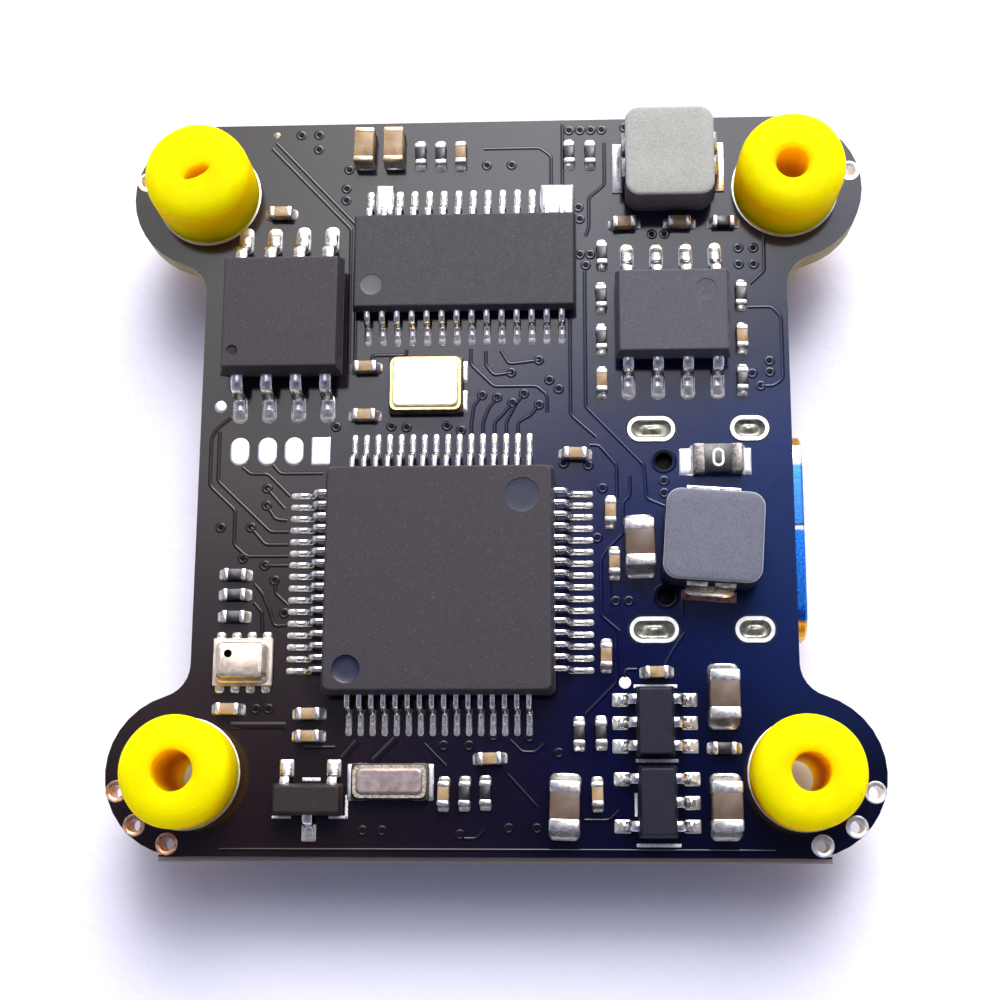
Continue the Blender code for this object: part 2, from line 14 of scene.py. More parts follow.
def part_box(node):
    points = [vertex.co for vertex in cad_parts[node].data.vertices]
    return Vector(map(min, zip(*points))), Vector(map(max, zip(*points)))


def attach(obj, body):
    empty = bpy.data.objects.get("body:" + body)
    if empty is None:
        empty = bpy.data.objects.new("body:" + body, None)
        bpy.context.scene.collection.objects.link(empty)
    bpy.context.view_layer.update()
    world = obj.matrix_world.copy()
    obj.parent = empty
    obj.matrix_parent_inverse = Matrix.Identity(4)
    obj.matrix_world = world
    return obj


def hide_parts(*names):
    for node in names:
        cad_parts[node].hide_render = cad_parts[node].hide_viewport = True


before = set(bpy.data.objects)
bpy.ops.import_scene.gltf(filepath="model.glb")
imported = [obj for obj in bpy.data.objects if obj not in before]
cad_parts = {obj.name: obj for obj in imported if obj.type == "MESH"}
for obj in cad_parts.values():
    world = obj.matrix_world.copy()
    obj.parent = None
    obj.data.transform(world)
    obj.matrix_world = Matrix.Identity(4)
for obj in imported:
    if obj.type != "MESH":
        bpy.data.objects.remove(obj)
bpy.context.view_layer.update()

MM = 0.001
IDENTITY = Matrix.Identity(4)

# The camera: its place, its turn in degrees and its lens on a 36 mm sensor
CAMERA_PLACE = (4.01, -16.79, 74.89)
CAMERA_TURN = (12.45, 2.97, 0.23)
CAMERA_LENS = 61.2

# How deep pieces reach into what they lie on, and how far the snapped ridge stands out of the edge
SUNK = 0.05
RIDGE_REACH = 0.2

# The mounting holes' places, the small plated holes round each of them, and the USB socket's holes
HALF_PITCH = 12.75
PLATED_HOLE_ORBIT = 2.92
PLATED_HOLE_ANGLES = (14.3, 46.0, 77.5)
USB_Y = -2.48
USB_TAB_Y = 4.32
USB_SLOTS = ((6.74, 1.7), (10.92, 1.3))
USB_SLOT_WIDTH = 0.75
USB_PEG_X = 7.25
USB_PEG_Y = 2.9


# ---- the frame's places

def centre_of(node):
    """The middle of a node's box, in millimetres, and the box's size."""
    low, high = [Vector(corner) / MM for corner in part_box(node)]
    return (low + high) / 2, high - low


def nodes_named(start):
    return sorted(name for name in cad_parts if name.startswith(start))


def shift(x, y, z=0.0):
    """A move in millimetres."""
    return Matrix.Translation((x * MM, y * MM, z * MM))


def spin(degrees):
    return Matrix.Rotation(math.radians(degrees), 4, "Z")


def at(x, y, z, turn=0.0, flip=False):
    """A place in millimetres, turned by degrees, and upside down when flip is set."""
    matrix = shift(x, y, z) @ spin(turn)
    return matrix @ Matrix.Rotation(math.pi, 4, "X") if flip else matrix


def seat(node, turn=0.0, flip=False):
    """The middle of a node's foot, or upside down the middle of its top."""
    centre, size = centre_of(node)
    return at(centre.x, centre.y, centre.z + (size.z if flip else -size.z) / 2, turn, flip)


BOARD_LOW, BOARD_HIGH = [Vector(corner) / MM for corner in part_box("circuit_board")]
TOP, BOTTOM = BOARD_HIGH.z, BOARD_LOW.z


# ---- colours and materials

def srgb(colour):
    """A screen colour as the linear colour that a shader takes."""
    def linear(value):
        value /= 255
        return value / 12.92 if value <= 0.04045 else ((value + 0.055) / 1.055) ** 2.4
    return (*map(linear, colour), 1.0)


class Graph:
    """Short ways to add nodes to a material or the world. Values are numbers or other nodes' sockets."""

    def __init__(self, tree):
        self.nodes, self.links = tree.nodes, tree.links

    def feed(self, socket, value):
        if isinstance(value, bpy.types.NodeSocket):
            self.links.new(value, socket)
        else:
            socket.default_value = value

    def add(self, kind, inputs, output, **settings):
        """Make a node with these settings and inputs, and give one of its outputs."""
        node = self.nodes.new("ShaderNode" + kind)
        for name, value in settings.items():
            setattr(node, name, value)
        for socket, value in inputs.items():
            self.feed(node.inputs[socket], value)
        return node.outputs[output]

    def range(self, value, low, high, to_low=0.0, to_high=1.0, clamp=True):
        inputs = {"Value": value, "From Min": low, "From Max": high, "To Min": to_low, "To Max": to_high}
        return self.add("MapRange", inputs, "Result", clamp=clamp)

    def ramp(self, value, *stops):
        """Linear colours at given values: each stop is (value, colour)."""
        colours = self.add("ValToRGB", {"Fac": value}, "Color")
        elements = colours.node.color_ramp.elements
        while len(elements) < len(stops):
            elements.new(0.5)
        for element, (position, colour) in zip(elements, stops):
            element.position = position
            element.color = (*colour[:3], 1.0)
        return colours

    def blend(self, factor, first, second):
        """Mix two linear colours."""
        return self.add("Mix", {"Factor": factor, 6: first, 7: second}, 2, data_type="RGBA")

    def maths(self, operation, *values):
        return self.add("Math", dict(enumerate(values)), "Value", operation=operation)

    def scaled(self, colour, factor):
        return self.add("VectorMath", {0: colour, "Scale": factor}, "Vector", operation="SCALE")


class Surface(Graph):
    """One material, built round a Principled BSDF."""

    def __init__(self, name, colour=(0.5, 0.5, 0.5, 1.0), **sockets):
        self.material = bpy.data.materials.new(name)
        self.material.use_nodes = True
        super().__init__(self.material.node_tree)
        self.inputs = self.nodes["Principled BSDF"].inputs
        self.inputs["Base Color"].default_value = colour
        for socket, value in sockets.items():
            self.inputs[socket.replace("_", " ").title().replace("Ior", "IOR")].default_value = value
        self.places = self.nodes.new("ShaderNodeTexCoord").outputs["Object"]
        self.relief = {}

    def noise(self, feature, detail=3.0, roughness=0.6, stretch=None):
        """A noise whose lumps are about feature millimetres wide, optionally stretched per axis."""
        places = self.places
        if stretch:
            places = self.add("Mapping", {"Vector": places, "Scale": stretch}, "Vector")
        inputs = {"Vector": places, "Scale": 1.0 / (feature * MM), "Detail": detail, "Roughness": roughness}
        return self.add("TexNoise", inputs, "Fac")

    def patches(self, feature, low, high, to_low=0.0, to_high=1.0, detail=3.0):
        """A noise cut to a range."""
        return self.range(self.noise(feature, detail), low, high, to_low, to_high)

    def specks(self, feature, gone, full):
        """1 round scattered points up to the share full of feature millimetres, and 0 from gone on."""
        inputs = {"Vector": self.places, "Scale": 1.0 / (feature * MM)}
        return self.range(self.add("TexVoronoi", inputs, "Distance"), gone, full)

    def along(self, direction, start, stop):
        """0 to 1 between two distances in millimetres along a direction, and on past them."""
        inputs = {0: self.places, 1: Vector(direction).normalized() / MM}
        distance = self.add("VectorMath", inputs, "Value", operation="DOT_PRODUCT")
        return self.range(distance, start, stop, clamp=False)

    def screen_ramp(self, value, *stops):
        """Screen colours at given values."""
        return self.ramp(value, *((position, srgb(colour)) for position, colour in stops))

    def steepness(self):
        """0 where the surface lies level, 1 where it stands upright."""
        normal = self.add("NewGeometry", {}, "Normal")
        upward = self.add("SeparateXYZ", {"Vector": normal}, "Z")
        return self.maths("SUBTRACT", 1.0, self.maths("ABSOLUTE", upward))

    def facing_sideways(self):
        """1 where the surface stands upright or slants, 0 where it faces up or down."""
        return self.maths("GREATER_THAN", self.steepness(), 0.2)

    def bump(self, height, depth):
        """Relief of the given depth in millimetres; a second call adds to the first."""
        normal = self.add("Bump", {"Height": height, "Distance": depth * MM, **self.relief}, "Normal")
        self.relief = {"Normal": normal}
        self.feed(self.inputs["Normal"], normal)

    def skin(self, colour, gloss, feature=None):
        """The colour, and the roughness: a socket, or two limits between which it wanders."""
        self.feed(self.inputs["Base Color"], colour)
        self.feed(self.inputs["Roughness"], self.patches(feature, 0.3, 0.7, *gloss) if feature else gloss)


# The lacquer's colours from the back edge to the front one: at its left, in its middle and at its right. The
# navy is the lacquer's own; the warm grey at the left, the lighter back rows and the brighter blue at the
# right are painted reflection of a haze
PAINTED_HAZE_LACQUER = ((0.0, (36, 31, 32)), (0.5, (40, 31, 33)), (1.0, (26, 16, 18)))
NAVY_LACQUER = ((0.0, (34, 36, 48)), (0.2, (28, 30, 50)), (0.42, (12, 18, 58)), (0.6, (3, 10, 62)),
                (0.78, (1, 5, 48)), (1.0, (1, 3, 32)))
BRIGHT_LACQUER = ((0.0, (34, 37, 50)), (0.3, (28, 34, 60)), (0.45, (24, 42, 88)), (0.6, (26, 44, 88)),
                  (0.78, (16, 30, 74)), (0.92, (5, 8, 32)))
LAMINATE = ((0.3, (112, 98, 66)), (0.5, (160, 146, 104)), (0.7, (190, 178, 140)))


def lacquer_with_painted_haze(surface, dim):
    """Navy lacquer, deepest in front, with painted reflection of a haze: warm grey at the left, lighter at
    the back and brighter blue at the right.
    """
    back_to_front = surface.along((0.0, -1.0, 0.0), -15.0, 15.0)
    left_to_right = surface.along((1.0, 0.15, 0.0), 0.0, 1.0)
    warm, navy, bright = (surface.screen_ramp(back_to_front, *stops)
                          for stops in (PAINTED_HAZE_LACQUER, NAVY_LACQUER, BRIGHT_LACQUER))
    base = surface.blend(surface.range(left_to_right, -9.5, 4.0), warm, navy)
    base = surface.blend(surface.range(left_to_right, 4.0, 13.0), base, bright)
    return surface.scaled(base, surface.patches(2.5, 0.35, 0.7, 0.86 * dim, dim))


def make_solder_mask(name, dim=1.0, level=0.42):
    """Black-blue lacquer over copper, with the laminate showing wherever the board is cut."""
    surface = Surface(name, specular_ior_level=level)
    laminate = surface.screen_ramp(surface.noise(0.35, stretch=(0.25, 0.25, 6.0)), *LAMINATE)
    cut = surface.facing_sideways()
    colour = surface.blend(cut, lacquer_with_painted_haze(surface, dim), laminate)
    from_middle = surface.maths("ABSOLUTE", surface.along((0.0, 1.0, 0.0), 0.0, 1.0))
    snapped = surface.maths("GREATER_THAN", from_middle, BOARD_HIGH.y - RIDGE_REACH + 0.01)
    gloss = surface.patches(0.4, 0.3, 0.7, 0.11, 0.15)
    gloss = surface.maths("MAXIMUM", gloss, surface.maths("MULTIPLY", cut, 0.8))
    surface.skin(surface.blend(snapped, colour, srgb((172, 160, 154))), gloss)
    surface.bump(surface.noise(0.7, 2.0), 0.002)
    surface.bump(surface.noise(0.08, 2.0), 0.0005)
    return surface.material


def make_mottled(name, stops, lumps, gloss, gloss_feature, grain, relief, **sockets):
    """A mottled colour with an uneven gloss and a fine grain; lumps are the mottle's (feature, detail)."""
    surface = Surface(name, **sockets)
    surface.skin(surface.screen_ramp(surface.noise(*lumps), *stops), gloss, gloss_feature)
    if relief:
        surface.bump(surface.noise(grain, 2.0), relief)
    return surface.material


def make_metal(name, light, dark, gloss, feature=0.2, relief=0.004, metallic=1.0):
    """Plated or tinned metal."""
    stops = ((0.32, dark), (0.62, light))
    return make_mottled(name, stops, (feature,), gloss, feature / 2, feature * 0.8, relief, metallic=metallic)


def make_plastic(name, dark, light, gloss=(0.4, 0.55), **sockets):
    """Moulded plastic with flow marks."""
    return make_mottled(name, ((0.3, dark), (0.7, light)), (0.8,), gloss, 0.15, 0.07, 0.003, **sockets)


def make_ceramic(name, dark, middle, light):
    """Fired ceramic with a little gloss."""
    stops = ((0.3, dark), (0.5, middle), (0.72, light))
    return make_mottled(name, stops, (0.5, 4.0), (0.32, 0.5), 0.08, 0.05, 0.003, specular_ior_level=0.3)


def make_moulding(name, dark, light):
    """Filled epoxy: a fine grain with sparse filler specks painted bright as glints."""
    surface = Surface(name, specular_ior_level=0.25)
    grain = surface.noise(0.05, 2.0)
    base = surface.screen_ramp(grain, (0.3, dark), (0.7, light))
    chance = surface.patches(0.12, 0.52, 0.58, detail=1.0)
    # Painted glints: the sparse specks are lit up well past the epoxy's lightest colour
    sparkle = surface.maths("MULTIPLY", surface.specks(0.09, 0.2, 0.12), chance)
    bright = (*(min(1.0, 2.6 * channel + 0.02) for channel in srgb(light)[:3]), 1.0)
    surface.skin(surface.blend(sparkle, base, bright), (0.42, 0.6), 0.3)
    surface.bump(grain, 0.006)
    return surface.material


def make_silicone():
    """Bright yellow silicone: soft, slightly see-through, with dust and moulding marks, and its steep sides
    painted orange as shade.
    """
    surface = Surface("silicone", subsurface_weight=1.0, subsurface_radius=(1.0, 0.6, 0.05),
                      subsurface_scale=6.0 * MM, specular_ior_level=0.03)
    base = surface.screen_ramp(surface.noise(1.2), (0.3, (255, 208, 0)), (0.7, (255, 217, 0)))
    # Painted shade: the steep sides turn orange, as where less light falls on them
    base = surface.blend(surface.range(surface.steepness(), 0.3, 0.85), base, srgb((255, 186, 0)))
    dust = surface.maths("MULTIPLY", surface.specks(0.7, 0.06, 0.035), 0.3)
    surface.skin(surface.blend(dust, base, srgb((180, 130, 20))), (0.5, 0.65), 0.25)
    surface.bump(surface.noise(0.12), 0.005)
    surface.bump(surface.noise(0.9, 1.0), 0.02)
    return surface.material


def make_inductor_skin(name, dark, light, side):
    """Pressed powder with faint pits, its upright sides painted darker than its top as shade."""
    surface = Surface(name, specular_ior_level=0.3)
    grain = surface.noise(0.06, 3.0, 0.7)
    base = surface.screen_ramp(grain, (0.3, dark), (0.55, light))
    base = surface.scaled(base, surface.patches(0.9, 0.35, 0.75, 0.9, 1.0))
    chance = surface.patches(0.3, 0.56, 0.6, detail=1.0)
    pits = surface.maths("MULTIPLY", surface.specks(0.2, 0.16, 0.1), chance)
    base = surface.blend(surface.maths("MULTIPLY", pits, 0.5), base, srgb(dark))
    gloss = surface.range(grain, 0.3, 0.7, 0.4, 0.55)
    # Painted shade: the upright sides take the darker side colour
    surface.skin(surface.blend(surface.facing_sideways(), base, srgb(side)), gloss)
    surface.bump(grain, 0.006)
    surface.bump(surface.noise(0.4), 0.006)
    return surface.material


def make_usb_metal():
    """Plated steel with painted reflections: blue along the middle and gold at its rounded ends, and pale
    stripes painted as highlights beside a dark line.
    """
    surface = Surface("usb_metal", metallic=1.0)
    gold, deep, azure, pale = (224, 176, 84), (46, 132, 240), (68, 134, 224), (226, 232, 240)
    # Painted reflections and highlights: bands of gold, blue and pale across the shell
    painted_reflections = surface.screen_ramp(
        surface.along((0.0, 1.0, 0.0), -7.0, 2.0), (0.0, gold), (0.075, gold), (0.09, deep), (0.515, deep),
        (0.52, pale), (0.535, pale), (0.54, (10, 14, 40)), (0.552, azure), (0.83, azure), (0.85, pale),
        (0.93, pale), (0.94, gold))
    surface.skin(painted_reflections, (0.2, 0.34), 0.1)
    surface.bump(surface.noise(0.3, 2.0, stretch=(0.3, 1.0, 1.0)), 0.004)
    return surface.material


MASK = make_solder_mask("solder_mask")
# Lacquer darkened and dulled as painted shade, for the steps beside tracks and round vias and holes
STEP_SHADE_MASK = make_solder_mask("solder_mask_painted_step_shade", 0.45, 0.16)
SOLDER = make_metal("solder", (244, 240, 232), (204, 198, 190), (0.26, 0.38), 0.3, 0.003, 0.88)
TINNED = make_metal("tinned_lead", (244, 241, 240), (206, 203, 204), (0.2, 0.3), 0.2, 0.002)
BRIGHT = make_metal("bright_tin", (246, 246, 246), (226, 226, 228), (0.3, 0.42), 0.3, 0.001)
END_CAP = make_metal("end_cap", (244, 240, 236), (196, 192, 190), (0.3, 0.46), relief=0.005)
LINK_CAP = make_metal("link_cap", (150, 144, 140), (92, 86, 84), (0.45, 0.6), 0.12, 0.008)
# Painted reflection: the filter capacitors' metal ends are tinted cream like the body beside them
CREAM_CAP = make_metal("cream_cap", (226, 202, 172), (196, 168, 138), (0.4, 0.5))
STRAP_FOOT = make_metal("strap_foot", (168, 128, 112), (116, 84, 74), (0.36, 0.5))
STRAP = make_metal("strap", (214, 212, 210), (140, 138, 138), (0.3, 0.42))
COPPER = make_metal("copper_ring", (240, 190, 160), (206, 146, 116), (0.22, 0.36), relief=0.003)
CREAM_RING = make_metal("cream_ring", (250, 238, 214), (222, 204, 170), (0.22, 0.36), relief=0.003)
GOLD = make_metal("gold_plate", (255, 222, 150), (238, 198, 124), (0.16, 0.28), relief=0.002)
GOLD_LID = make_metal("gold_lid", (255, 246, 222), (250, 232, 196), (0.34, 0.42), 0.5, 0.001)
SILVER_LID = make_metal("silver_lid", (176, 160, 158), (150, 134, 133), (0.36, 0.46), 0.4, 0.002)
SENSOR_LID = make_metal("sensor_lid", (255, 240, 222), (236, 216, 194), (0.34, 0.46), 0.4, 0.002)
STEEL = make_metal("steel_plate", (214, 216, 220), (190, 193, 199), (0.2, 0.36), 0.3, 0.003)
SLOT_FILL = make_metal("slot_solder", (146, 144, 130), (88, 86, 74), (0.16, 0.26), 0.25, 0.008, 0.45)
MOULDING = make_moulding("chip_moulding", (43, 39, 44), (60, 54, 60))
PALE_MOULDING = make_moulding("chip_moulding_pale", (58, 58, 65), (80, 80, 87))
GREY_MOULDING = make_moulding("chip_moulding_grey", (45, 44, 50), (63, 62, 69))
WARM_MOULDING = make_moulding("chip_moulding_warm", (30, 24, 25), (43, 35, 36))
DARK_MOULDING = make_moulding("chip_moulding_dark", (12, 12, 26), (22, 22, 40))
POLISHED = make_plastic("mark_floor", (8, 12, 42), (14, 18, 54), (0.3, 0.4))
GREY_MARK = make_plastic("mark_floor_grey", (64, 62, 68), (76, 74, 80), (0.35, 0.45))
TAN = make_ceramic("capacitor_tan", (128, 102, 70), (152, 125, 92), (170, 144, 110))
BROWN = make_ceramic("capacitor_brown", (78, 64, 54), (91, 74, 63), (103, 86, 73))
RESISTOR = make_plastic("resistor_glaze", (14, 14, 20), (28, 28, 36), (0.25, 0.4))
BASE_CERAMIC = make_ceramic("package_ceramic", (150, 140, 130), (186, 176, 164), (214, 206, 194))
# Painted shade: the cans' trays are dark as the shade under their lids
SHADED_CERAMIC = make_ceramic("package_painted_shade", (38, 32, 30), (52, 45, 42), (66, 58, 54))
SILICONE = make_silicone()
PALE_SKIN = make_inductor_skin("inductor_pale", (130, 130, 124), (160, 160, 154), (92, 84, 88))
LAVENDER_SKIN = make_inductor_skin("inductor_lavender", (78, 80, 92), (104, 105, 120), (24, 26, 46))
SKIN_RIM = make_plastic("inductor_rim", (140, 140, 150), (186, 186, 194), (0.3, 0.45))
USB_METAL = make_usb_metal()
INK = make_mottled("silkscreen", ((0.3, (150, 150, 158)), (0.5, (235, 235, 238))), (0.09,), (0.5, 0.75),
                   0.1, 0.05, 0.004)
CORE = make_plastic("socket_core", (14, 14, 16), (26, 26, 30))
IVORY = make_plastic("ivory_plastic", (222, 214, 192), (240, 234, 216), (0.35, 0.5),
                     subsurface_weight=0.2, subsurface_scale=0.5 * MM)
BUTTON = make_plastic("button_cap", (196, 186, 160), (222, 214, 192))
LENS = make_mottled("light_lens", ((0.3, (215, 235, 215)), (0.7, (240, 250, 240))), (0.3,), (0.2, 0.35),
                    0.1, 0.0, 0.0, transmission_weight=0.6, ior=1.5)
# Painted shade: black for the insides of holes, vents and via dimples
HOLE_SHADE = make_plastic("hole_shadow", (2, 2, 5), (6, 6, 12), (0.4, 0.5), specular_ior_level=0.1)


# ---- mesh helpers

def add_object(name, data):
    item = bpy.data.objects.new(name, data)
    bpy.context.scene.collection.objects.link(item)
    return item


def new_meshes(count):
    return [bmesh.new() for _ in range(count)]


def mesh_of(name, bm, materials):
    mesh = bpy.data.meshes.new(name)
    bm.to_mesh(mesh)
    bm.free()
    for material in materials:
        mesh.materials.append(material)
    return mesh


def shade(mesh, sharp):
    """Smooth shading, with hard edges where faces meet at more than sharp degrees."""
    mesh.shade_smooth()
    mesh.set_sharp_from_angle(angle=math.radians(sharp))


def piece(name, bm, materials, stands_for=(), body="board", sharp=38.0):
    """Make the mesh a piece of the object that rides on a body."""
    bmesh.ops.recalc_face_normals(bm, faces=bm.faces)
    item = add_object(name, mesh_of(name, bm, materials))
    shade(item.data, sharp)
    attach(item, body)
    if stands_for:
        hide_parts(*stands_for)
    return item


def carve(item, cutters):
    """Cut the cutters' mesh out of a piece for good; the cut faces take the cutters' materials."""
    bmesh.ops.recalc_face_normals(cutters, faces=cutters.faces)
    tool = add_object("cutter", mesh_of("cutter", cutters, item.data.materials))
    modifier = item.modifiers.new("carve", "BOOLEAN")
    modifier.operation = "DIFFERENCE"
    modifier.solver = "EXACT"
    modifier.object = tool
    graph = bpy.context.evaluated_depsgraph_get()
    carved = bpy.data.meshes.new_from_object(item.evaluated_get(graph))
    item.modifiers.clear()
    item.data = carved
    shade(carved, 30.0)
    bpy.data.objects.remove(tool)


def arc(centre, radius, start, stop, steps):
    angles = [math.radians(start + (stop - start) * i / steps) for i in range(steps + 1)]
    return [(centre[0] + radius * math.cos(a), centre[1] + radius * math.sin(a)) for a in angles]


def rounded(width, height, radius, steps):
    """Outline of a rectangle with round corners."""
    x, y = width / 2 - radius, height / 2 - radius
    return (arc((x, y), radius, 0, 90, steps) + arc((-x, y), radius, 90, 180, steps)
            + arc((-x, -y), radius, 180, 270, steps) + arc((x, -y), radius, 270, 360, steps))


def disc(radius, steps):
    return arc((0, 0), radius, 0, 360, steps)[:-1]


def layer(outline, z, scale=1.0):
    return [(x * scale, y * scale, z) for x, y in outline]


def discs(steps, *levels):
    """Round loops, each (radius, height)."""
    return [layer(disc(radius, steps), z) for radius, z in levels]


def insets(length, width, corner, steps, levels, follow=0.0):
    """Loops of a rounded rectangle, each (inset, height). Corners tighten by follow times the inset."""
    return [layer(rounded(length - 2 * inset, width - 2 * inset, corner - follow * inset, steps), z)
            for inset, z in levels]


def there_and_back(profile, sign=-1):
    """A profile of (radius, height) points closed by its mirror image."""
    return [*profile, *((radius, sign * height) for radius, height in reversed(profile))]


def loft(bm, sections, place=IDENTITY, material=0, closed=False):
    """Join loops of equally many points; the ends are capped unless the last loop meets the first."""
    rings = [[bm.verts.new(place @ (Vector(point) * MM)) for point in section] for section in sections]
    pairs = list(zip(rings, rings[1:]))
    if closed:
        pairs.append((rings[-1], rings[0]))
    faces = []
    for low, high in pairs:
        for i, corner in enumerate(low):
            after = (i + 1) % len(low)
            faces.append(bm.faces.new((corner, low[after], high[after], high[i])))
    if not closed:
        faces += [bm.faces.new(rings[0][::-1]), bm.faces.new(rings[-1])]
    for face in faces:
        face.material_index = material


def lathe(bm, profile, place, steps):
    """Turn a closed profile of (radius, height) about an upright axis, clear of the axis."""
    angles = [2 * math.pi * i / steps for i in range(steps)]
    sections = [[(r * math.cos(a), r * math.sin(a), z) for r, z in profile] for a in angles]
    loft(bm, sections, place, closed=True)


def dome(bm, outline, place, height, fullness=2.4, material=0):
    """A low mound over an outline, as solder or ink leaves it."""
    sections = [layer(outline, -SUNK), layer(outline, height * 0.12)]
    for scale in (0.96, 0.88, 0.74, 0.5, 0.2):
        sections.append(layer(outline, height * (1 - scale ** fullness) ** 0.6 + height * 0.12, scale))
    loft(bm, sections, place, material)


def brick(bm, size, place, radius=0.05, material=0, steps=2):
    """A block with all its edges rounded, its foot at the place."""
    length, width, height = size
    outline = rounded(length, width, radius, steps)
    inner = rounded(length - 1.2 * radius, width - 1.2 * radius, radius * 0.6, steps)
    middle = rounded(length - 0.4 * radius, width - 0.4 * radius, radius * 0.9, steps)
    soft = 0.25 * radius
    loft(bm, [layer(inner, 0), layer(middle, soft), layer(outline, radius), layer(outline, height - radius),
              layer(middle, height - soft), layer(inner, height)], place, material)


def ring(bm, outer, inner, place, low, high):
    """A flat ring between two outlines of equally many points, with softened edges."""
    soft = 0.25 * (high - low)
    loft(bm, [layer(inner, low), layer(outer, low), layer(outer, high - soft), layer(outer, high, 0.985),
              layer(inner, high, 1.02), layer(inner, high - soft)], place, closed=True)


def rounded_path(points, radius, steps=4):
    """The points joined by straight runs, with each bend rounded."""
    path = [Vector(points[0])]
    for before, bend, after in zip(points, points[1:], points[2:]):
        before, bend, after = Vector(before), Vector(bend), Vector(after)
        entry = bend + (before - bend).normalized() * min(radius, (before - bend).length / 2)
        leave = bend + (after - bend).normalized() * min(radius, (after - bend).length / 2)
        for i in range(steps + 1):
            t = i / steps
            path.append(entry * (1 - t) ** 2 + bend * 2 * t * (1 - t) + leave * t ** 2)
    path.append(Vector(points[-1]))
    return path


def with_sides(path):
    """Each point of a path, with the unit direction square to the path there."""
    ahead = [(b - a).normalized() for a, b in zip(path, path[1:])]
    headings = [ahead[0], *((a + b).normalized() for a, b in zip(ahead, ahead[1:])), ahead[-1]]
    return [(point, Vector((-heading.y, heading.x))) for point, heading in zip(path, headings)]


def strip(bm, path, width, thickness, place, edge=0.02):
    """A bent strip of metal: path holds (outward, upward) points of its middle, width lies along Y."""
    x, y = width / 2, thickness / 2
    section = ((-x, edge - y), (edge - x, -y), (x - edge, -y), (x, edge - y), (x, y - edge), (x - edge, y),
               (edge - x, y), (-x, y - edge))
    loft(bm, [[(point.x + side.x * up, across, point.y + side.y * up) for across, up in section]
              for point, side in with_sides(path)], place)


def ribbon(bm, points, width, height, z, radius=0.15):
    """A flat raised track with sloping sides along the points; a negative height hangs it down."""
    foot = -math.copysign(SUNK, height)
    shape = ((-0.5, foot), (-0.5, 0.0), (-0.32, height), (0.32, height), (0.5, 0.0), (0.5, foot))
    path = with_sides(rounded_path(points, radius, 3))
    loft(bm, [[(point.x + side.x * share * width, point.y + side.y * share * width, z + up)
               for share, up in shape] for point, side in path])


def fillet(bm, width, reach, height, place):
    """Solder that climbs an upright face at the place: X points away from the face."""
    half_section = ((-1.0, -0.5), (-1.0, 0.3), (-0.86, 0.72), (-0.5, 0.96))
    section = (*half_section, (0.0, 1.0), *((-across, up) for across, up in reversed(half_section)))
    sections = []
    for share in (-0.12, 0.0, 0.12, 0.28, 0.46, 0.66, 0.86, 1.0):
        u = max(share, 0.0)
        tall = height * (1 - u) ** 1.9 + 0.05
        half = width / 2 * (1 - 0.28 * u ** 4)
        sections.append([(share * reach, half * across, tall * up) for across, up in section])
    loft(bm, sections, place)


def spread(count, pitch):
    return [(i - (count - 1) / 2) * pitch for i in range(count)]


def corners():
    return [(sign_x, sign_y) for sign_x in (-1, 1) for sign_y in (-1, 1)]


# ---- soft mounts

# Each mount's bore radius and mouth round, how far its top leans, and how much its mouth is pinched
MOUNTS = {"back_left": (0.56, 0.2, (-0.2, 0.34), 0.62), "back_right": (0.68, 0.24, (0.18, 0.34), 0.0),
          "front_left": (0.84, 0.14, (0.0, 0.0), 0.0), "front_right": (0.78, 0.14, (0.0, 0.0), 0.0)}
PINCH_TURN = math.radians(27.0)
NECK = 1.55
RIM_ROUND = 0.7


def build_grommets():
    """Turned silicone bushes, each slightly uneven, with a bore squeezed more or less at its mouth."""
    random.seed(4)
    for node in nodes_named("grommet_"):
        centre, size = centre_of(node)
        bore, mouth_round, lean, pinch = MOUNTS[node.removeprefix("grommet_")]
        outer, tall, seat_high = size.x / 2, size.z / 2 + 0.04, (TOP - BOTTOM) / 2 + 0.02
        mouth = arc((bore + mouth_round, tall - mouth_round), mouth_round, 180, 90, 6)
        rim = arc((outer - RIM_ROUND, tall - RIM_ROUND), RIM_ROUND, 90, 0, 12)
        profile = [(0.8, 0.3), (bore + 0.04, tall - 1.1), *mouth, ((bore + outer) / 2, tall + 0.015), *rim,
                   (outer, seat_high + 0.5), (outer - 0.03, seat_high + 0.12), (outer - 0.12, seat_high),
                   (NECK + 0.1, seat_high), (NECK, seat_high - 0.1)]
        bm = bmesh.new()
        lathe(bm, there_and_back(profile), at(*centre), 96)
        lobes = [(n, random.uniform(0, 6.28), random.uniform(0.002, 0.005)) for n in (2, 3, 5)]
        for vert in bm.verts:
            x, y = vert.co.x / MM - centre.x, vert.co.y / MM - centre.y
            angle, reach = math.atan2(y, x), math.hypot(x, y)
            swell = 1 + sum(depth * math.sin(n * angle + phase) for n, phase, depth in lobes)
            rise = min(max((vert.co.z / MM - centre.z - seat_high) / (tall - seat_high), 0.0), 1.0)
            closed = pinch * rise * min(max(1.7 - reach, 0.0), 1.0)
            narrow = closed * (y * math.cos(PINCH_TURN) - x * math.sin(PINCH_TURN))
            rise *= 0.3 + 0.7 * reach / outer
            vert.co.x = (centre.x + x * swell + narrow * math.sin(PINCH_TURN) + lean[0] * rise) * MM
            vert.co.y = (centre.y + y * swell - narrow * math.cos(PINCH_TURN) + lean[1] * rise) * MM
        piece(f"{node}_bush", bm, [SILICONE], [node], sharp=80.0)


# ---- chips

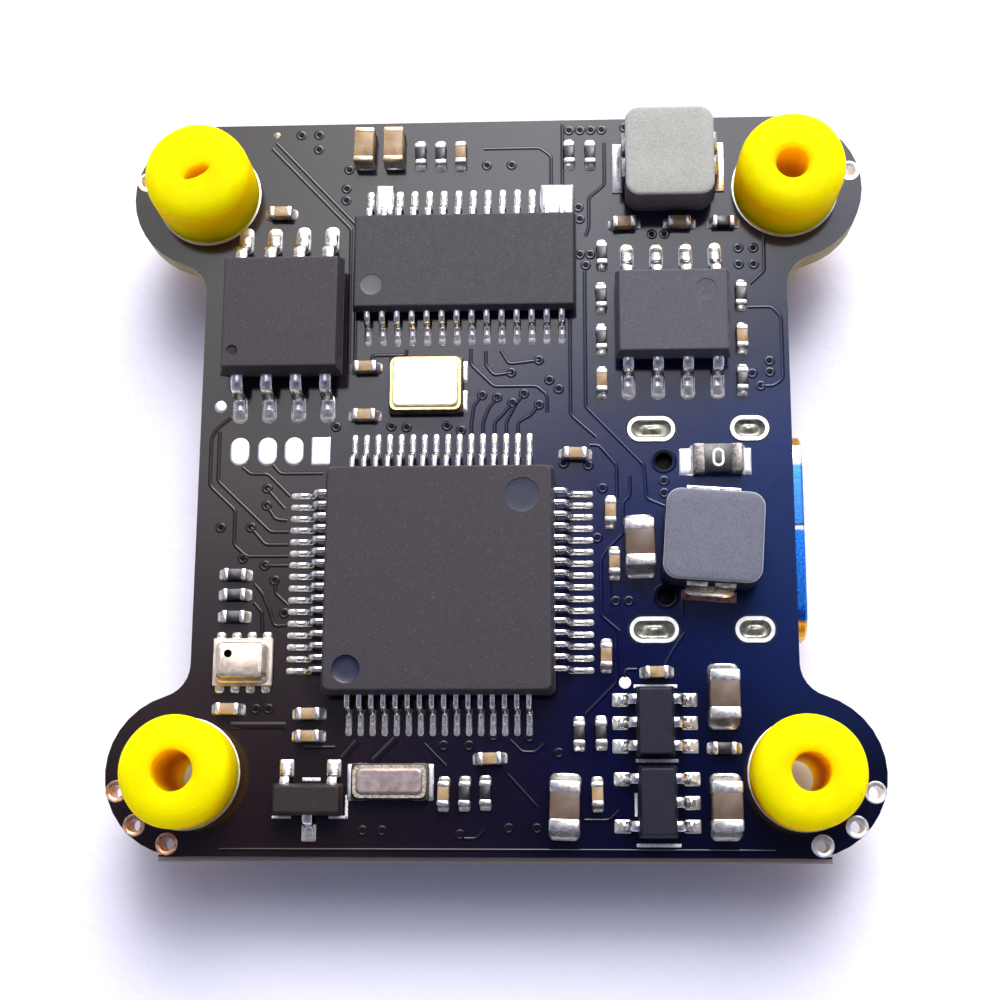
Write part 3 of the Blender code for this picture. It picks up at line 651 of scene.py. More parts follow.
def body_sections(length, width, height, standoff, corner):
    """Loops of a moulded body: drafted both ways from a seam, which stands out by a hair."""
    top, seam = standoff + height, standoff + height / 2
    inset, edge = 0.11 * height, 0.045
    return insets(length, width, corner, 3, (
        (inset + edge, standoff), (inset, standoff + edge), (0.02, seam - 0.03), (0.0, seam - 0.015),
        (0.0, seam + 0.015), (0.02, seam + 0.03), (inset, top - edge),
        (inset + 0.3 * edge, top - 0.3 * edge), (inset + edge, top), (inset + 2 * edge, top)))


def lead_places(sides, length, width, place):
    """The place of each lead's root on the body's side, with X pointing outward."""
    for heading, places in sides.items():
        ends = heading % 180 == 0
        root = shift((length if ends else width) / 2, 0)
        for along in places:
            yield place @ (shift(0, along) if ends else shift(along, 0)) @ spin(heading) @ root


def build_chip(node, body, sides, lead, pad, materials, corner=0.08, marks=()):
    """A moulded chip with its leads and solder.

    lead is (width, thickness, shoulder, reach). pad is (width, toe, corner as a share of the width).
    marks are (x, y, diameter, depth) of round recesses.
    """
    label = node.split("_")[0]
    length, width, height, standoff = body
    lead_width, thickness, shoulder, reach = lead
    pad_width, toe, pad_corner = pad
    place = seat(node)
    bm, leads, solder = new_meshes(3)
    loft(bm, body_sections(*body, corner), place)
    moulded = piece(f"{label}_body", bm, materials, [node])
    if marks:
        cutters = bmesh.new()
        top = standoff + height
        for x, y, diameter, depth in marks:
            rim = disc(diameter / 2, 48)
            hollow = [layer(rim, top + 0.2), layer(rim, top - 0.6 * depth)]
            hollow += [layer(rim, top - depth * (1 - 0.4 * share ** 6), share)
                       for share in (0.95, 0.85, 0.6, 0.35, 0.1)]
            loft(cutters, hollow, place @ shift(x, y), material=1)
        carve(moulded, cutters)

    seam = standoff + height / 2
    bends = ((-0.25, seam), (shoulder, seam), (shoulder + 0.28 * seam, thickness / 2), (reach, thickness / 2))
    path = rounded_path(bends, 1.6 * thickness)
    start, stop = shoulder + 0.03, reach + toe
    outline = rounded(stop - start, pad_width, pad_width * pad_corner, 4)
    for root in lead_places(sides, length, width, place):
        strip(leads, path, lead_width, thickness, root, edge=0.28 * thickness)
        dome(solder, outline, root @ shift((start + stop) / 2, 0, -0.02), 0.08 * random.uniform(0.85, 1.15))
        fillet(solder, lead_width * 1.05, toe * 0.85, thickness * 0.95, root @ shift(reach - 0.02, 0, -0.02))
    piece(f"{label}_leads", leads, [TINNED], sharp=50.0)
    piece(f"{label}_solder", solder, [SOLDER], sharp=60.0)


def build_chips():
    random.seed(11)
    quad, rows, wide, three = spread(16, 0.5), spread(14, 0.65), spread(4, 1.27), spread(3, 0.95)
    build_chip("processor_chip", (9.7, 9.7, 1.4, 0.1), {0: quad, 90: quad, 180: quad, 270: quad},
               (0.22, 0.13, 0.45, 1.2), (0.26, 0.4, 0.42), [MOULDING, POLISHED], 0.28,
               ((3.49, 3.43, 1.47, 0.03), (-3.73, -3.83, 1.17, 0.09)))
    build_chip("display_chip", (9.7, 4.4, 0.95, 0.1), {90: rows, 270: rows}, (0.28, 0.13, 0.42, 1.0),
               (0.33, 0.4, 0.42), [GREY_MOULDING, GREY_MARK], 0.06, ((-4.0, -1.1, 0.95, 0.03),))
    build_chip("memory_chip", (5.28, 5.28, 1.7, 0.15), {90: wide, 270: wide}, (0.52, 0.2, 0.55, 1.35),
               (0.66, 0.5, 0.42), [MOULDING, DARK_MOULDING], 0.06, ((-2.0, -1.75, 0.5, 0.05),))
    build_chip("converter_chip", (4.9, 3.9, 1.4, 0.15), {90: wide, 270: wide}, (0.48, 0.2, 0.35, 1.1),
               (0.62, 0.5, 0.42), [PALE_MOULDING, PALE_MOULDING], 0.06, ((1.39, 0.88, 0.95, 0.025),))
    small = (0.42, 0.15, 0.25, 0.62)
    build_chip("transistor_three_lead", (2.9, 1.3, 1.0, 0.05), {90: (-0.98, 0.98), 270: (0.0,)}, small,
               (0.6, 0.4, 0.12), [WARM_MOULDING, POLISHED])
    build_chip("driver_six_lead", (1.6, 2.9, 1.05, 0.05), {0: three, 180: three}, small,
               (0.56, 0.34, 0.12), [DARK_MOULDING, POLISHED])
    build_chip("supply_five_lead", (1.6, 2.9, 1.05, 0.05), {0: three, 180: (-0.95, 0.95)}, small,
               (0.56, 0.34, 0.12), [DARK_MOULDING, POLISHED])


# ---- parts with two end caps

# The start of the nodes' names, the part's size, its cap, the solder's reach, its materials and its slot
TWO_ENDED = (
    ("bulk_capacitor_", (2.0, 1.2, 1.2), 0.5, 0.38, [BROWN, END_CAP], "capacitor_brown"),
    ("filter_capacitor_", (1.6, 0.85, 0.85), 0.26, 0.12, [TAN, CREAM_CAP], "capacitor_tan"),
    ("small_capacitor_", (1.0, 0.46, 0.5), 0.25, 0.24, [TAN, END_CAP], "capacitor_tan"),
    ("small_resistor_", (1.0, 0.46, 0.37), 0.25, 0.24, [RESISTOR, END_CAP], "resistor_black"),
)

# Ten more small resistors than the frame has nodes for: place and turn
EXTRA_RESISTORS = (
    (3.3, 14.42, 90.0), (4.22, 14.39, 90.0), (10.02, 11.1, 0.0), (4.7, 9.68, 90.0), (4.66, 5.83, 90.0),
    (10.66, 3.94, 90.0), (-1.1, -13.55, 90.0), (-0.25, -13.52, 90.0), (3.6, -11.11, 90.0),
    (4.5, -11.08, 90.0))


def end_cap_part(bm, solder, place, size, cap, reach, climb=(0.55, 0.8)):
    """A block between two plated ends, with solder climbing both ends."""
    length, width, height = size
    proud = 0.02
    brick(bm, (length - cap, width, height - proud), place @ shift(0, 0, proud / 2), 0.04)
    for sign, turn in ((1, 0.0), (-1, 180.0)):
        end = place @ shift(sign * (length - cap) / 2, 0)
        brick(bm, (cap, width + 2 * proud, height), end, min(0.08, cap * 0.3), 1, 3)
        face = place @ spin(turn) @ shift(length / 2 - 0.03, 0, -0.02)
        fillet(solder, width * 1.08, reach, height * random.uniform(*climb), face)


def build_two_ended():
    random.seed(23)
    for start, size, cap, reach, materials, slot in TWO_ENDED:
        solder = bmesh.new()
        for node in nodes_named(start):
            box = centre_of(node)[1]
            turn = (90.0 if box.y > box.x else 0.0) + random.uniform(-2.0, 2.0)
            bm = bmesh.new()
            end_cap_part(bm, solder, seat(node, turn), size, cap, reach)
            piece(f"{node}_part", bm, materials, [node])
        if start == "small_resistor_":
            for number, (x, y, turn) in enumerate(EXTRA_RESISTORS, 9):
                bm = bmesh.new()
                place = at(x, y, TOP + 0.02, turn + random.uniform(-2.5, 2.5))
                end_cap_part(bm, solder, place, size, cap, reach)
                piece(f"small_resistor_{number:02d}_part", bm, materials)
        piece(f"{start}solder", solder, [SOLDER], sharp=60.0)


def build_link():
    """The large zero-ohm link, with an oval ring printed on it and flat bright pads."""
    centre = centre_of("link_resistor")[0]
    place = seat("link_resistor")
    bm, solder, pads, oval = new_meshes(4)
    end_cap_part(bm, solder, place, (2.1, 1.2, 0.55), 0.5, 0.2, climb=(0.2, 0.3))
    piece("link_resistor_part", bm, [RESISTOR, LINK_CAP], ["link_resistor"])
    piece("link_resistor_solder", solder, [SOLDER], sharp=60.0)
    for x, width in ((8.2, 0.62), (10.78, 0.36)):
        dome(pads, rounded(width, 1.2, 0.06, 3), at(x, centre.y - 0.08, TOP), 0.07, 6.0)
    piece("link_resistor_pads", pads, [BRIGHT], sharp=60.0)
    outer, inner = rounded(0.5, 0.8, 0.249, 8), rounded(0.28, 0.58, 0.139, 8)
    ring(oval, outer, inner, place @ shift(0, 0, 0.53), 0.0, 0.012)
    piece("link_resistor_ring", oval, [INK])


# ---- inductors, cans and the sensor

def build_inductor(node, turn, skin, feet):
    """A pressed block with a lighter rim round its flat top, and a strap terminal folded up each end."""
    length, width, height = 3.85, 4.1, 2.0
    place = seat(node, turn)
    bm, straps, solder = new_meshes(3)
    walls = ((0.08, 0.0), (0.02, 0.1), (0.0, 0.9), (0.01, height - 0.13), (0.025, height - 0.07))
    rim = ((0.026, height - 0.072), (0.055, height - 0.03))
    top = ((0.054, height - 0.031), (0.09, height - 0.008), (0.15, height), (0.5, height + 0.004))
    for material, levels in ((0, walls), (1, rim), (0, top)):
        loft(bm, insets(length, width, 0.62, 6, levels, 0.4), place, material)
    piece(f"{node}_block", bm, [skin, SKIN_RIM], [node])
    path = rounded_path(((-0.6, 0.07), (0.1, 0.07), (0.1, 1.5), (-0.2, 1.56)), 0.14, 5)
    half_strap, notch = 0.86, 0.3
    for foot, heading in enumerate((0.0, 180.0), 1):
        end = place @ spin(heading) @ shift(length / 2, 0)
        for side in (1, -1):
            strip(straps, path, half_strap, 0.13, end @ shift(0, side * (half_strap + notch) / 2), edge=0.03)
        brick(straps, (0.12, notch + 0.1, 1.1), end @ shift(0.08, 0), 0.02)
        brick(straps, (0.46, 2.3, 0.09), end @ shift(0.3, 0, -0.02), 0.03, foot)
        fillet(solder, 2.1, 0.2, 0.3, end @ shift(0.14, 0, 0.03))
    piece(f"{node}_straps", straps, [STRAP, *feet], sharp=50.0)
    piece(f"{node}_solder", solder, [SOLDER], sharp=60.0)


def build_can(node, base, lid, edge, materials):
    """A ceramic tray with castellated corners under a pressed lid: a thin flange round a plate.

    The materials are those of the tray, painted dark as the shade under the lid, the flange, the plate and
    the corners.
    """
    length, width, height = lid
    place = seat(node)
    top = base[2] + height
    flange = ((0.0, base[2] - 0.02), (0.0, top - 0.16), (0.02, top - 0.13))
    plate = ((edge, top - 0.18), (edge, top - 0.05), (edge + 0.03, top - 0.01), (edge + 0.07, top),
             (edge + 0.14, top), (edge + 0.24, top))
    bm = bmesh.new()
    brick(bm, base, place, 0.06, 0, 3)
    for material, levels in ((1, flange), (2, plate)):
        loft(bm, insets(length, width, 0.3, 6, levels, 0.5), place, material)
    for sign_x, sign_y in corners():
        spot = shift((base[0] / 2 - 0.4) * sign_x, (base[1] / 2 - 0.04) * sign_y)
        brick(bm, (0.5, 0.1, base[2] * 0.75), place @ spot, 0.03, 3)
    piece(f"{node}_package", bm, materials, [node])


def build_cans():
    build_can("gold_oscillator", (3.2, 2.5, 0.4), (3.08, 2.38, 0.35), 0.13,
              [SHADED_CERAMIC, GOLD, GOLD_LID, GOLD])
    build_can("clock_crystal", (3.2, 1.5, 0.35), (3.05, 1.36, 0.3), 0.16,
              [SHADED_CERAMIC, CREAM_RING, SILVER_LID, TINNED])
    bm = bmesh.new()
    for side in (1, -1):
        centre, size = centre_of("gold_oscillator")
        spot = at(centre.x + size.x / 2 - 0.12, centre.y + side * 0.66, TOP)
        dome(bm, rounded(0.62, 0.98, 0.08, 3), spot, 0.06, 6.0)
        centre, size = centre_of("clock_crystal")
        spot = at(centre.x + side * (size.x / 2 + 0.02), centre.y, TOP)
        dome(bm, rounded(0.34, 1.5, 0.06, 3), spot, 0.05, 6.0)
    piece("can_pads", bm, [BRIGHT], sharp=60.0)


def build_pressure_sensor():
    """A pale tray with castellations and solder, under a stepped metal lid with a vent hole."""
    centre, size = centre_of("pressure_sensor_base")
    lid_centre, (length, width, height) = centre_of("pressure_sensor_lid")
    place = seat("pressure_sensor_base")
    lid_place = at(centre.x, centre.y, lid_centre.z - height / 2)
    bm, lid, solder, vent = new_meshes(4)
    brick(bm, (2.5, 2.0, size.z), place)
    for side in (1, -1):
        for x in spread(4, 0.65):
            brick(bm, (0.34, 0.08, 0.2), place @ shift(x, side * 0.98, 0.02), 0.03, 1)
            dome(solder, rounded(0.4, 0.42, 0.12, 4), place @ shift(x, side * 1.08, -0.02), 0.1)
    piece("pressure_sensor_tray", bm, [BASE_CERAMIC, GOLD], ["pressure_sensor_base"])
    steps = ((0.0, 0.0, 0.3), (0.0, 0.07, 0.3), (0.05, 0.1, 0.28), (0.11, height * 0.6, 0.26),
             (0.15, height - 0.12, 0.25), (0.2, height - 0.04, 0.22), (0.3, height, 0.16))
    loft(lid, [layer(rounded(length - 2 * inset, width - 2 * inset, corner, 6), z)
               for inset, z, corner in steps], lid_place)
    cover = piece("pressure_sensor_cover", lid, [SENSOR_LID, HOLE_SHADE], ["pressure_sensor_lid"])
    # The vent's walls take the black painted shade
    loft(vent, discs(32, (0.165, height * 0.4), (0.165, height + 0.2)), lid_place @ shift(-0.48, 0.26), 1)
    carve(cover, vent)
    piece("pressure_sensor_solder", solder, [SOLDER], sharp=60.0)


# ---- the board's flat details

VIAS = (
    (-6.5, 13.9), (-6.6, 13.0), (-6.6, 12.45), (-8.7, 15.6), (-7.9, 15.6), (-7.9, 14.9), (-0.35, 14.0),
    (0.75, 14.0), (3.3, 15.6), (3.78, 15.6), (4.26, 15.6), (4.74, 15.6), (5.75, 15.7), (3.7, 11.95),
    (3.75, 11.4), (3.75, 9.75), (4.2, 9.75), (4.0, 9.25), (6.9, 10.65), (7.45, 10.65), (10.65, 9.95),
    (11.3, 9.95), (10.65, 9.2), (11.3, 9.2), (11.85, 4.8), (11.85, 4.3), (11.1, 4.25), (11.45, 3.7),
    (-6.8, 2.05), (-4.4, 2.05), (-3.75, 2.0), (-2.0, 2.05), (-1.4, 1.85), (-0.5, 3.4), (0.15, 3.3),
    (0.8, 3.05), (1.3, 3.45), (1.95, 2.95), (1.95, 4.95), (0.75, 4.4), (2.4, 4.05), (2.8, 3.65),
    (3.0, 0.35), (4.05, 0.25), (7.25, -0.45), (7.25, -0.98), (4.65, -0.75), (4.4, -2.9), (5.15, -5.6),
    (5.7, -5.6), (-9.7, -0.65), (-9.7, -1.4), (-11.65, -2.35), (-10.35, -2.35), (-9.7, -4.0),
    (-10.65, -3.7), (-9.25, -4.65), (-8.8, -6.05), (-2.0, -11.6), (-0.95, -11.6), (0.05, -11.2),
    (1.55, -11.25), (2.75, -11.9), (-5.3, -15.05), (-4.5, -15.05), (-1.3, -15.2), (0.7, -14.95),
    (1.85, -14.95), (-9.88, -10.08), (-9.34, -10.08),
)

TRACES = (
    ((-10.0, 15.0), (-6.35, 11.1), (-6.3, 4.5)),
    ((-9.8, 15.25), (-6.1, 11.25), (-6.05, 4.6)),
    ((-0.5, 14.8), (2.0, 14.8), (2.5, 14.4), (2.5, 13.05)),
    ((3.0, 15.9), (3.0, 13.05)),
    ((4.85, 15.0), (4.85, 13.0), (4.15, 12.4), (4.15, 11.0), (4.0, 10.6)),
    ((11.75, 10.6), (11.75, 8.9), (11.1, 8.3)),
    ((11.0, 7.25), (12.0, 7.25), (12.4, 6.8), (12.4, 4.0), (12.0, 3.7), (11.5, 3.7)),
    ((-11.4, 2.5), (-12.0, 2.0), (-12.2, 1.6), (-12.2, -0.5), (-11.05, -1.6), (-11.05, -3.1), (-10.5, -3.6),
     (-8.7, -3.6)),
    ((-11.85, 1.9), (-11.85, -0.3), (-9.5, -2.55), (-8.7, -2.55)),
    ((-10.8, 0.3), (-10.45, 0.0), (-9.7, 0.0), (-8.7, -1.0)),
    ((-9.5, 0.4), (-9.15, 0.0), (-7.3, 0.0)),
    ((-9.7, -0.65), (-9.4, -1.0), (-8.9, -1.55)),
    ((-9.7, -1.4), (-9.3, -2.0), (-8.8, -2.05)),
    ((-10.35, -2.35), (-9.7, -3.1), (-8.7, -3.1)),
    ((-9.7, -4.0), (-8.7, -4.0)),
    ((-9.25, -4.65), (-9.2, -5.2), (-8.65, -5.7)),
    ((-10.1, -4.8), (-9.75, -5.2), (-9.4, -6.0), (-9.2, -6.6), (-8.7, -6.55)),
    ((-10.1, -5.6), (-9.75, -6.0), (-9.7, -6.9)),
    ((-5.3, 5.0), (-5.3, 5.25), (-3.8, 5.25), (-3.8, 5.5)),
    ((-1.0, 5.5), (-1.0, 4.8), (0.0, 3.8), (1.85, 3.8), (2.3, 3.4), (2.3, 2.6)),
    ((-0.35, 5.4), (-0.35, 4.75), (0.0, 4.3), (0.75, 4.4)),
    ((0.3, 5.4), (0.65, 4.8), (1.95, 4.95)),
    ((4.1, 1.15), (4.5, 1.15), (5.25, 0.25), (5.25, -1.2)),
    ((3.3, 8.0), (3.3, 2.5), (4.4, 1.5)),
    ((3.95, 9.0), (3.95, 2.85), (6.4, 0.25), (6.5, -1.2), (7.3, -1.55)),
    ((5.8, -0.2), (5.8, -1.1), (5.5, -1.35), (5.5, -2.7), (4.8, -3.4), (4.55, -3.8), (4.55, -6.2),
     (5.3, -6.85)),
    ((4.9, -4.5), (4.9, -5.9)),
    ((5.15, -7.0), (5.15, -9.0), (3.85, -10.3)),
    ((7.9, -5.2), (7.9, -6.2)),
    ((8.0, -6.9), (7.4, -7.8), (7.15, -8.3)),
    ((5.5, -8.8), (5.5, -8.45), (6.0, -8.45)),
    ((-2.8, -11.5), (-1.9, -12.4)),
    ((0.75, -11.35), (1.25, -11.85), (1.8, -11.85), (2.15, -11.5)),
    ((0.65, -12.75), (1.9, -14.1)),
    ((-1.1, -15.35), (-0.6, -15.35), (-0.3, -15.0)),
    ((3.8, -14.6), (4.8, -14.6), (5.2, -14.2)),
    ((-7.8, -11.65), (-6.5, -11.65)),
)

WIDE_TRACES = (
    ((-4.0, -11.3), (-4.9, -12.2)),
    ((-5.6, -11.4), (-6.2, -12.1)),
    ((-10.9, -10.75), (-8.6, -10.75)),
)

FRONT_LINE = ((-11.2, -15.8), (11.5, -15.8))


def processor_escapes():
    """Tracks that leave the processor's back row and curl to vias on the right."""
    for x, end_x, end_y in ((-0.45, 0.15, 3.3), (0.05, 0.8, 3.05), (0.55, 1.3, 3.45), (1.05, 1.95, 2.95),
                            (-0.95, -0.5, 3.4)):
        yield (x, 1.7), (x, 2.2), (end_x - 0.35, end_y - 0.45), (end_x, end_y)


def build_tracks():
    """Lacquered tracks, each in a low step beside it that is darkened as painted shade."""
    tracks, steps, under = new_meshes(3)
    for width, group in ((0.11, (*TRACES, *processor_escapes())), (0.3, WIDE_TRACES), (0.1, (FRONT_LINE,))):
        for points in group:
            ribbon(tracks, points, width, 0.012, TOP)
            ribbon(steps, points, width + 0.07, 0.003, TOP)
    for points in TRACES[:24:2]:
        ribbon(under, [(-x * 0.8, y * 0.8) for x, y in points], 0.17, -0.018, BOTTOM)
    piece("top_tracks", tracks, [MASK])
    piece("top_track_steps", steps, [STEP_SHADE_MASK])
    piece("underside_tracks", under, [MASK])


def build_vias():
    """Lacquered vias: a low ring in a step darkened as painted shade, round a dimple painted black as shade,
    on both faces.
    """
    rings, dimples, steps = new_meshes(3)
    profile = ((0.1, -SUNK), (0.21, -SUNK), (0.21, 0.004), (0.185, 0.012), (0.14, 0.012), (0.11, 0.006))
    for x, y in VIAS:
        for place in (at(x, y, TOP), at(x, y, BOTTOM, flip=True)):
            lathe(rings, profile, place, 20)
            loft(dimples, discs(16, (0.12, -SUNK), (0.12, 0.004), (0.06, 0.008)), place)
            loft(steps, discs(20, (0.24, -SUNK), (0.24, 0.001), (0.2256, 0.003)), place)
    piece("via_rings", rings, [MASK])
    piece("via_dimples", dimples, [HOLE_SHADE])
    piece("via_steps", steps, [STEP_SHADE_MASK])


def build_plated_rings():
    """Eyelets through the small holes at the ears, and rings round the mounting holes."""
    half = (TOP - BOTTOM) / 2
    eyelet = there_and_back([
        (0.265, half - 0.05), (0.28, half + 0.01), (0.32, half + 0.03), (0.43, half + 0.03),
        (0.46, half + 0.005), (0.46, half - 0.02), (0.31, half - 0.03)])
    flat = ((1.64, half - SUNK), (2.32, half - SUNK), (2.32, half + 0.008), (2.3, half + 0.014),
            (1.66, half + 0.014), (1.64, half + 0.008))
    copper, cream, silver, mounts = new_meshes(4)
    for sign_x, sign_y in corners():
        metal = silver if sign_x > 0 else cream if sign_y > 0 else copper
        ear = at(sign_x * HALF_PITCH, sign_y * HALF_PITCH, (TOP + BOTTOM) / 2)
        for angle in map(math.radians, PLATED_HOLE_ANGLES):
            x, y = PLATED_HOLE_ORBIT * math.cos(angle), PLATED_HOLE_ORBIT * math.sin(angle)
            lathe(metal, eyelet, ear @ shift(sign_x * x, sign_y * y), 32)
        for side in (1, -1):
            lathe(mounts, [(radius, side * height) for radius, height in flat], ear, 72)
    piece("copper_eyelets", copper, [COPPER])
    piece("cream_eyelets", cream, [CREAM_RING])
    piece("silver_eyelets", silver, [BRIGHT])
    piece("mounting_hole_rings", mounts, [BRIGHT])


def build_usb_joints():
    """Plated oblong rings filled with solder round the shell's tabs, and black sleeves and floors in the peg
    holes painted as their shade, with steps round them darkened as painted shade.
    """
    rings, solder, shadows, steps = new_meshes(4)
    bowl = ((1.0, -0.5), (1.0, -0.03), (0.92, -0.09), (0.78, -0.13), (0.6, -0.15), (0.42, -0.14),
            (0.26, -0.1), (0.12, -0.07))
    for x, length in USB_SLOTS:
        outer = rounded(length + 0.36, 1.11, 0.55, 12)
        inner = rounded(length, USB_SLOT_WIDTH, USB_SLOT_WIDTH / 2 - 0.001, 12)
        edge = rounded(length + 0.5, 1.25, 0.62, 12)
        fill = rounded(length + 0.02, USB_SLOT_WIDTH + 0.02, USB_SLOT_WIDTH / 2 - 0.001, 12)
        for y in (USB_Y + USB_TAB_Y, USB_Y - USB_TAB_Y):
            ring(rings, outer, inner, at(x, y, TOP), -SUNK, 0.03)
            ring(rings, outer, inner, at(x, y, BOTTOM, flip=True), -SUNK, 0.03)
            ring(steps, edge, outer, at(x, y, TOP), -SUNK, 0.004)
            loft(solder, [layer(fill, depth, share) for share, depth in bowl], at(x, y, TOP))
    for vert in solder.verts:
        vert.co.z += 0.012 * math.sin(vert.co.x / MM * 4.1) * math.cos(vert.co.y / MM * 5.3) * MM
    for y in (USB_Y + USB_PEG_Y, USB_Y - USB_PEG_Y):
        place = at(USB_PEG_X, y, TOP)
        # Painted shade: a black sleeve and a black disc fill each peg hole
        lathe(shadows, ((0.36, -1.1), (0.41, -1.1), (0.41, 0.002), (0.4, 0.004), (0.37, 0.002)), place, 32)
        loft(shadows, discs(32, (0.4, -0.55), (0.4, -0.45)), place)
        lathe(steps, ((0.4, -SUNK), (0.56, -SUNK), (0.56, 0.003), (0.54, 0.006), (0.42, 0.006), (0.4, 0.003)),
              place, 32)
    piece("usb_slot_rings", rings, [BRIGHT])
    piece("usb_slot_solder", solder, [SLOT_FILL], sharp=60.0)
    piece("usb_peg_hole_shade", shadows, [HOLE_SHADE])
    piece("usb_hole_steps", steps, [STEP_SHADE_MASK])


def build_pads():
    """Bare tinned pads: the four test pads, the long blocks at the display chip and a few dots."""
    bm, under = new_meshes(2)
    for x, corner, steps in ((-10.95, 0.405, 8), (-9.75, 0.405, 8), (-8.6, 0.405, 8), (-7.43, 0.08, 4)):
        dome(bm, rounded(0.83, 1.25, corner, steps), at(x, 0.98, TOP), 0.025, 14.0)
    dome(bm, rounded(0.8, 1.6, 0.04, 3), at(-4.85, 12.3, TOP), 0.24, 12.0)
    dome(bm, rounded(1.55, 1.6, 0.04, 3), at(2.76, 12.2, TOP), 0.24, 12.0)
    dome(bm, disc(0.28, 24), at(-11.85, 3.0, TOP), 0.04, 4.0)
    dome(bm, disc(0.05, 12), at(-11.85, 3.0, TOP + 0.03), 0.02, 2.4, 1)
    dome(bm, disc(0.18, 20), at(-9.8, 15.6, TOP), 0.03, 2.4, 1)
    piece("bare_pads", bm, [BRIGHT, SLOT_FILL], sharp=60.0)
    for y in (-14.9, 14.9):
        for x in spread(11, 1.5):
            dome(under, rounded(0.9, 1.3, 0.2, 4), at(x, y, BOTTOM, flip=True), 0.05, 5.0)
    piece("underside_pads", under, [GOLD], sharp=60.0)


def build_silkscreen():
    """White printed bars and a dot, and printed corners round three of the underside's parts."""
    bars = (
        ((5.85, -9.15), (7.65, -9.15), 0.14), ((5.9, -12.2), (7.65, -12.2), 0.14),
        ((5.9, -15.6), (7.7, -15.6), 0.14), ((5.9, -13.5), (5.9, -14.45), 0.12),
        ((-7.82, -12.97), (-7.07, -12.97), 0.14), ((-5.97, -13.6), (-5.97, -14.55), 0.12),
        ((-6.7, -14.5), (-5.92, -14.5), 0.12), ((-9.05, -14.5), (-8.25, -14.5), 0.12),
        ((10.17, 6.7), (10.17, 7.0), 0.08))
    bm = bmesh.new()
    for start, stop, width in bars:
        ribbon(bm, (start, stop), width, 0.016, TOP)
    dome(bm, disc(0.25, 20), at(5.5, -9.0, TOP), 0.014, 5.0)
    board_edge, arm = 12.4, 0.8
    for node, margin in (("motion_sensor", 0.35), ("cable_socket", 0.3), ("boot_button_base", 0.3)):
        centre, size = centre_of(node)
        for sign_x, sign_y in corners():
            x, y = centre.x + sign_x * (size.x / 2 + margin), centre.y + sign_y * (size.y / 2 + margin)
            if abs(x) <= board_edge:
                bend = ((x - sign_x * arm, y), (x, y), (x, y - sign_y * arm))
                ribbon(bm, bend, 0.13, -0.016, BOTTOM, 0.02)
    piece("silkscreen", bm, [INK])


# ---- under the board

def build_usb():
    """The socket's drawn shell with a rolled lip, its tabs, and the contacts on both faces of its tongue."""
    centre, size = centre_of("usb_shell")
    front, rear = centre.x + size.x / 2, centre.x - size.x / 2
    width, height, corner, wall = 8.94, 3.2, 1.25, 0.3
    place = at(0.0, centre.y, height / 2)
    lip = ((rear, 0.0), (front - 0.1, 0.0), (front - 0.02, 0.06), (front, 0.15), (front - 0.03, 0.25),
           (front - 0.12, wall), (rear, wall))
    bm, windows, fingers, tails = new_meshes(4)
    loft(bm, [[(x, y, z) for y, z in rounded(width - 2 * inset, height - 2 * inset, corner - inset, 12)]
              for x, inset in lip], place, closed=True)
    for x, tab in ((6.74, 1.1), (10.92, 0.8)):
        for side in (1, -1):
            spot = place @ shift(x, side * (width - wall) / 2, 0.1)
            brick(bm, (tab, 0.24, TOP - height / 2 - 0.15), spot, 0.04)
    shell = piece("usb_socket_shell", bm, [USB_METAL], ["usb_shell"])
    for y in (-1.9, 1.9):
        brick(windows, (1.7, 0.9, 1.0), place @ shift(front - 2.2, y, -height / 2 - 0.5), 0.1)
    carve(shell, windows)
    path = rounded_path(((0.4, 0.5), (-0.15, 0.5), (-0.3, 1.5), (-0.95, 1.55)), 0.18)
    finger = rounded(2.6, 0.27, 0.1, 3)
    for y in spread(12, 0.5):
        strip(tails, path, 0.24, 0.12, place @ shift(rear, y))
        for side in (1, -1):
            spot = place @ shift(front - 1.9, y, side * 0.35)
            loft(fingers, [layer(finger, -0.03), layer(finger, 0.03)], spot)
    piece("usb_contacts", fingers, [GOLD])
    piece("usb_tails", tails, [TINNED])


def build_cable_socket():
    """Contacts in the cable socket, their tails behind it and its two side anchors."""
    centre, size = centre_of("cable_socket")
    mouth, back = centre.x - size.x / 2, centre.x + size.x / 2
    pins, tails = new_meshes(2)
    tail = rounded_path(((-0.2, 0.6), (0.2, 0.6), (0.35, 0.09), (0.95, 0.09)), 0.16)
    anchor = rounded_path(((-0.3, 1.1), (0.02, 1.1), (0.02, 0.07), (0.35, 0.07)), 0.12)
    for y in spread(8, 1.0):
        brick(pins, (2.6, 0.3, 0.3), at(mouth + 2.2, centre.y + y, BOTTOM - 1.6), 0.08)
        strip(tails, tail, 0.32, 0.16, at(back, centre.y + y, BOTTOM - 0.02, flip=True))
    for side in (1, -1):
        y = centre.y + side * (size.y / 2 + 0.04)
        strip(tails, anchor, 1.6, 0.14, at(centre.x - 0.5, y, BOTTOM - 0.02, side * 90.0, True))
    piece("cable_socket_pins", pins, [GOLD])
    piece("cable_socket_tails", tails, [TINNED])


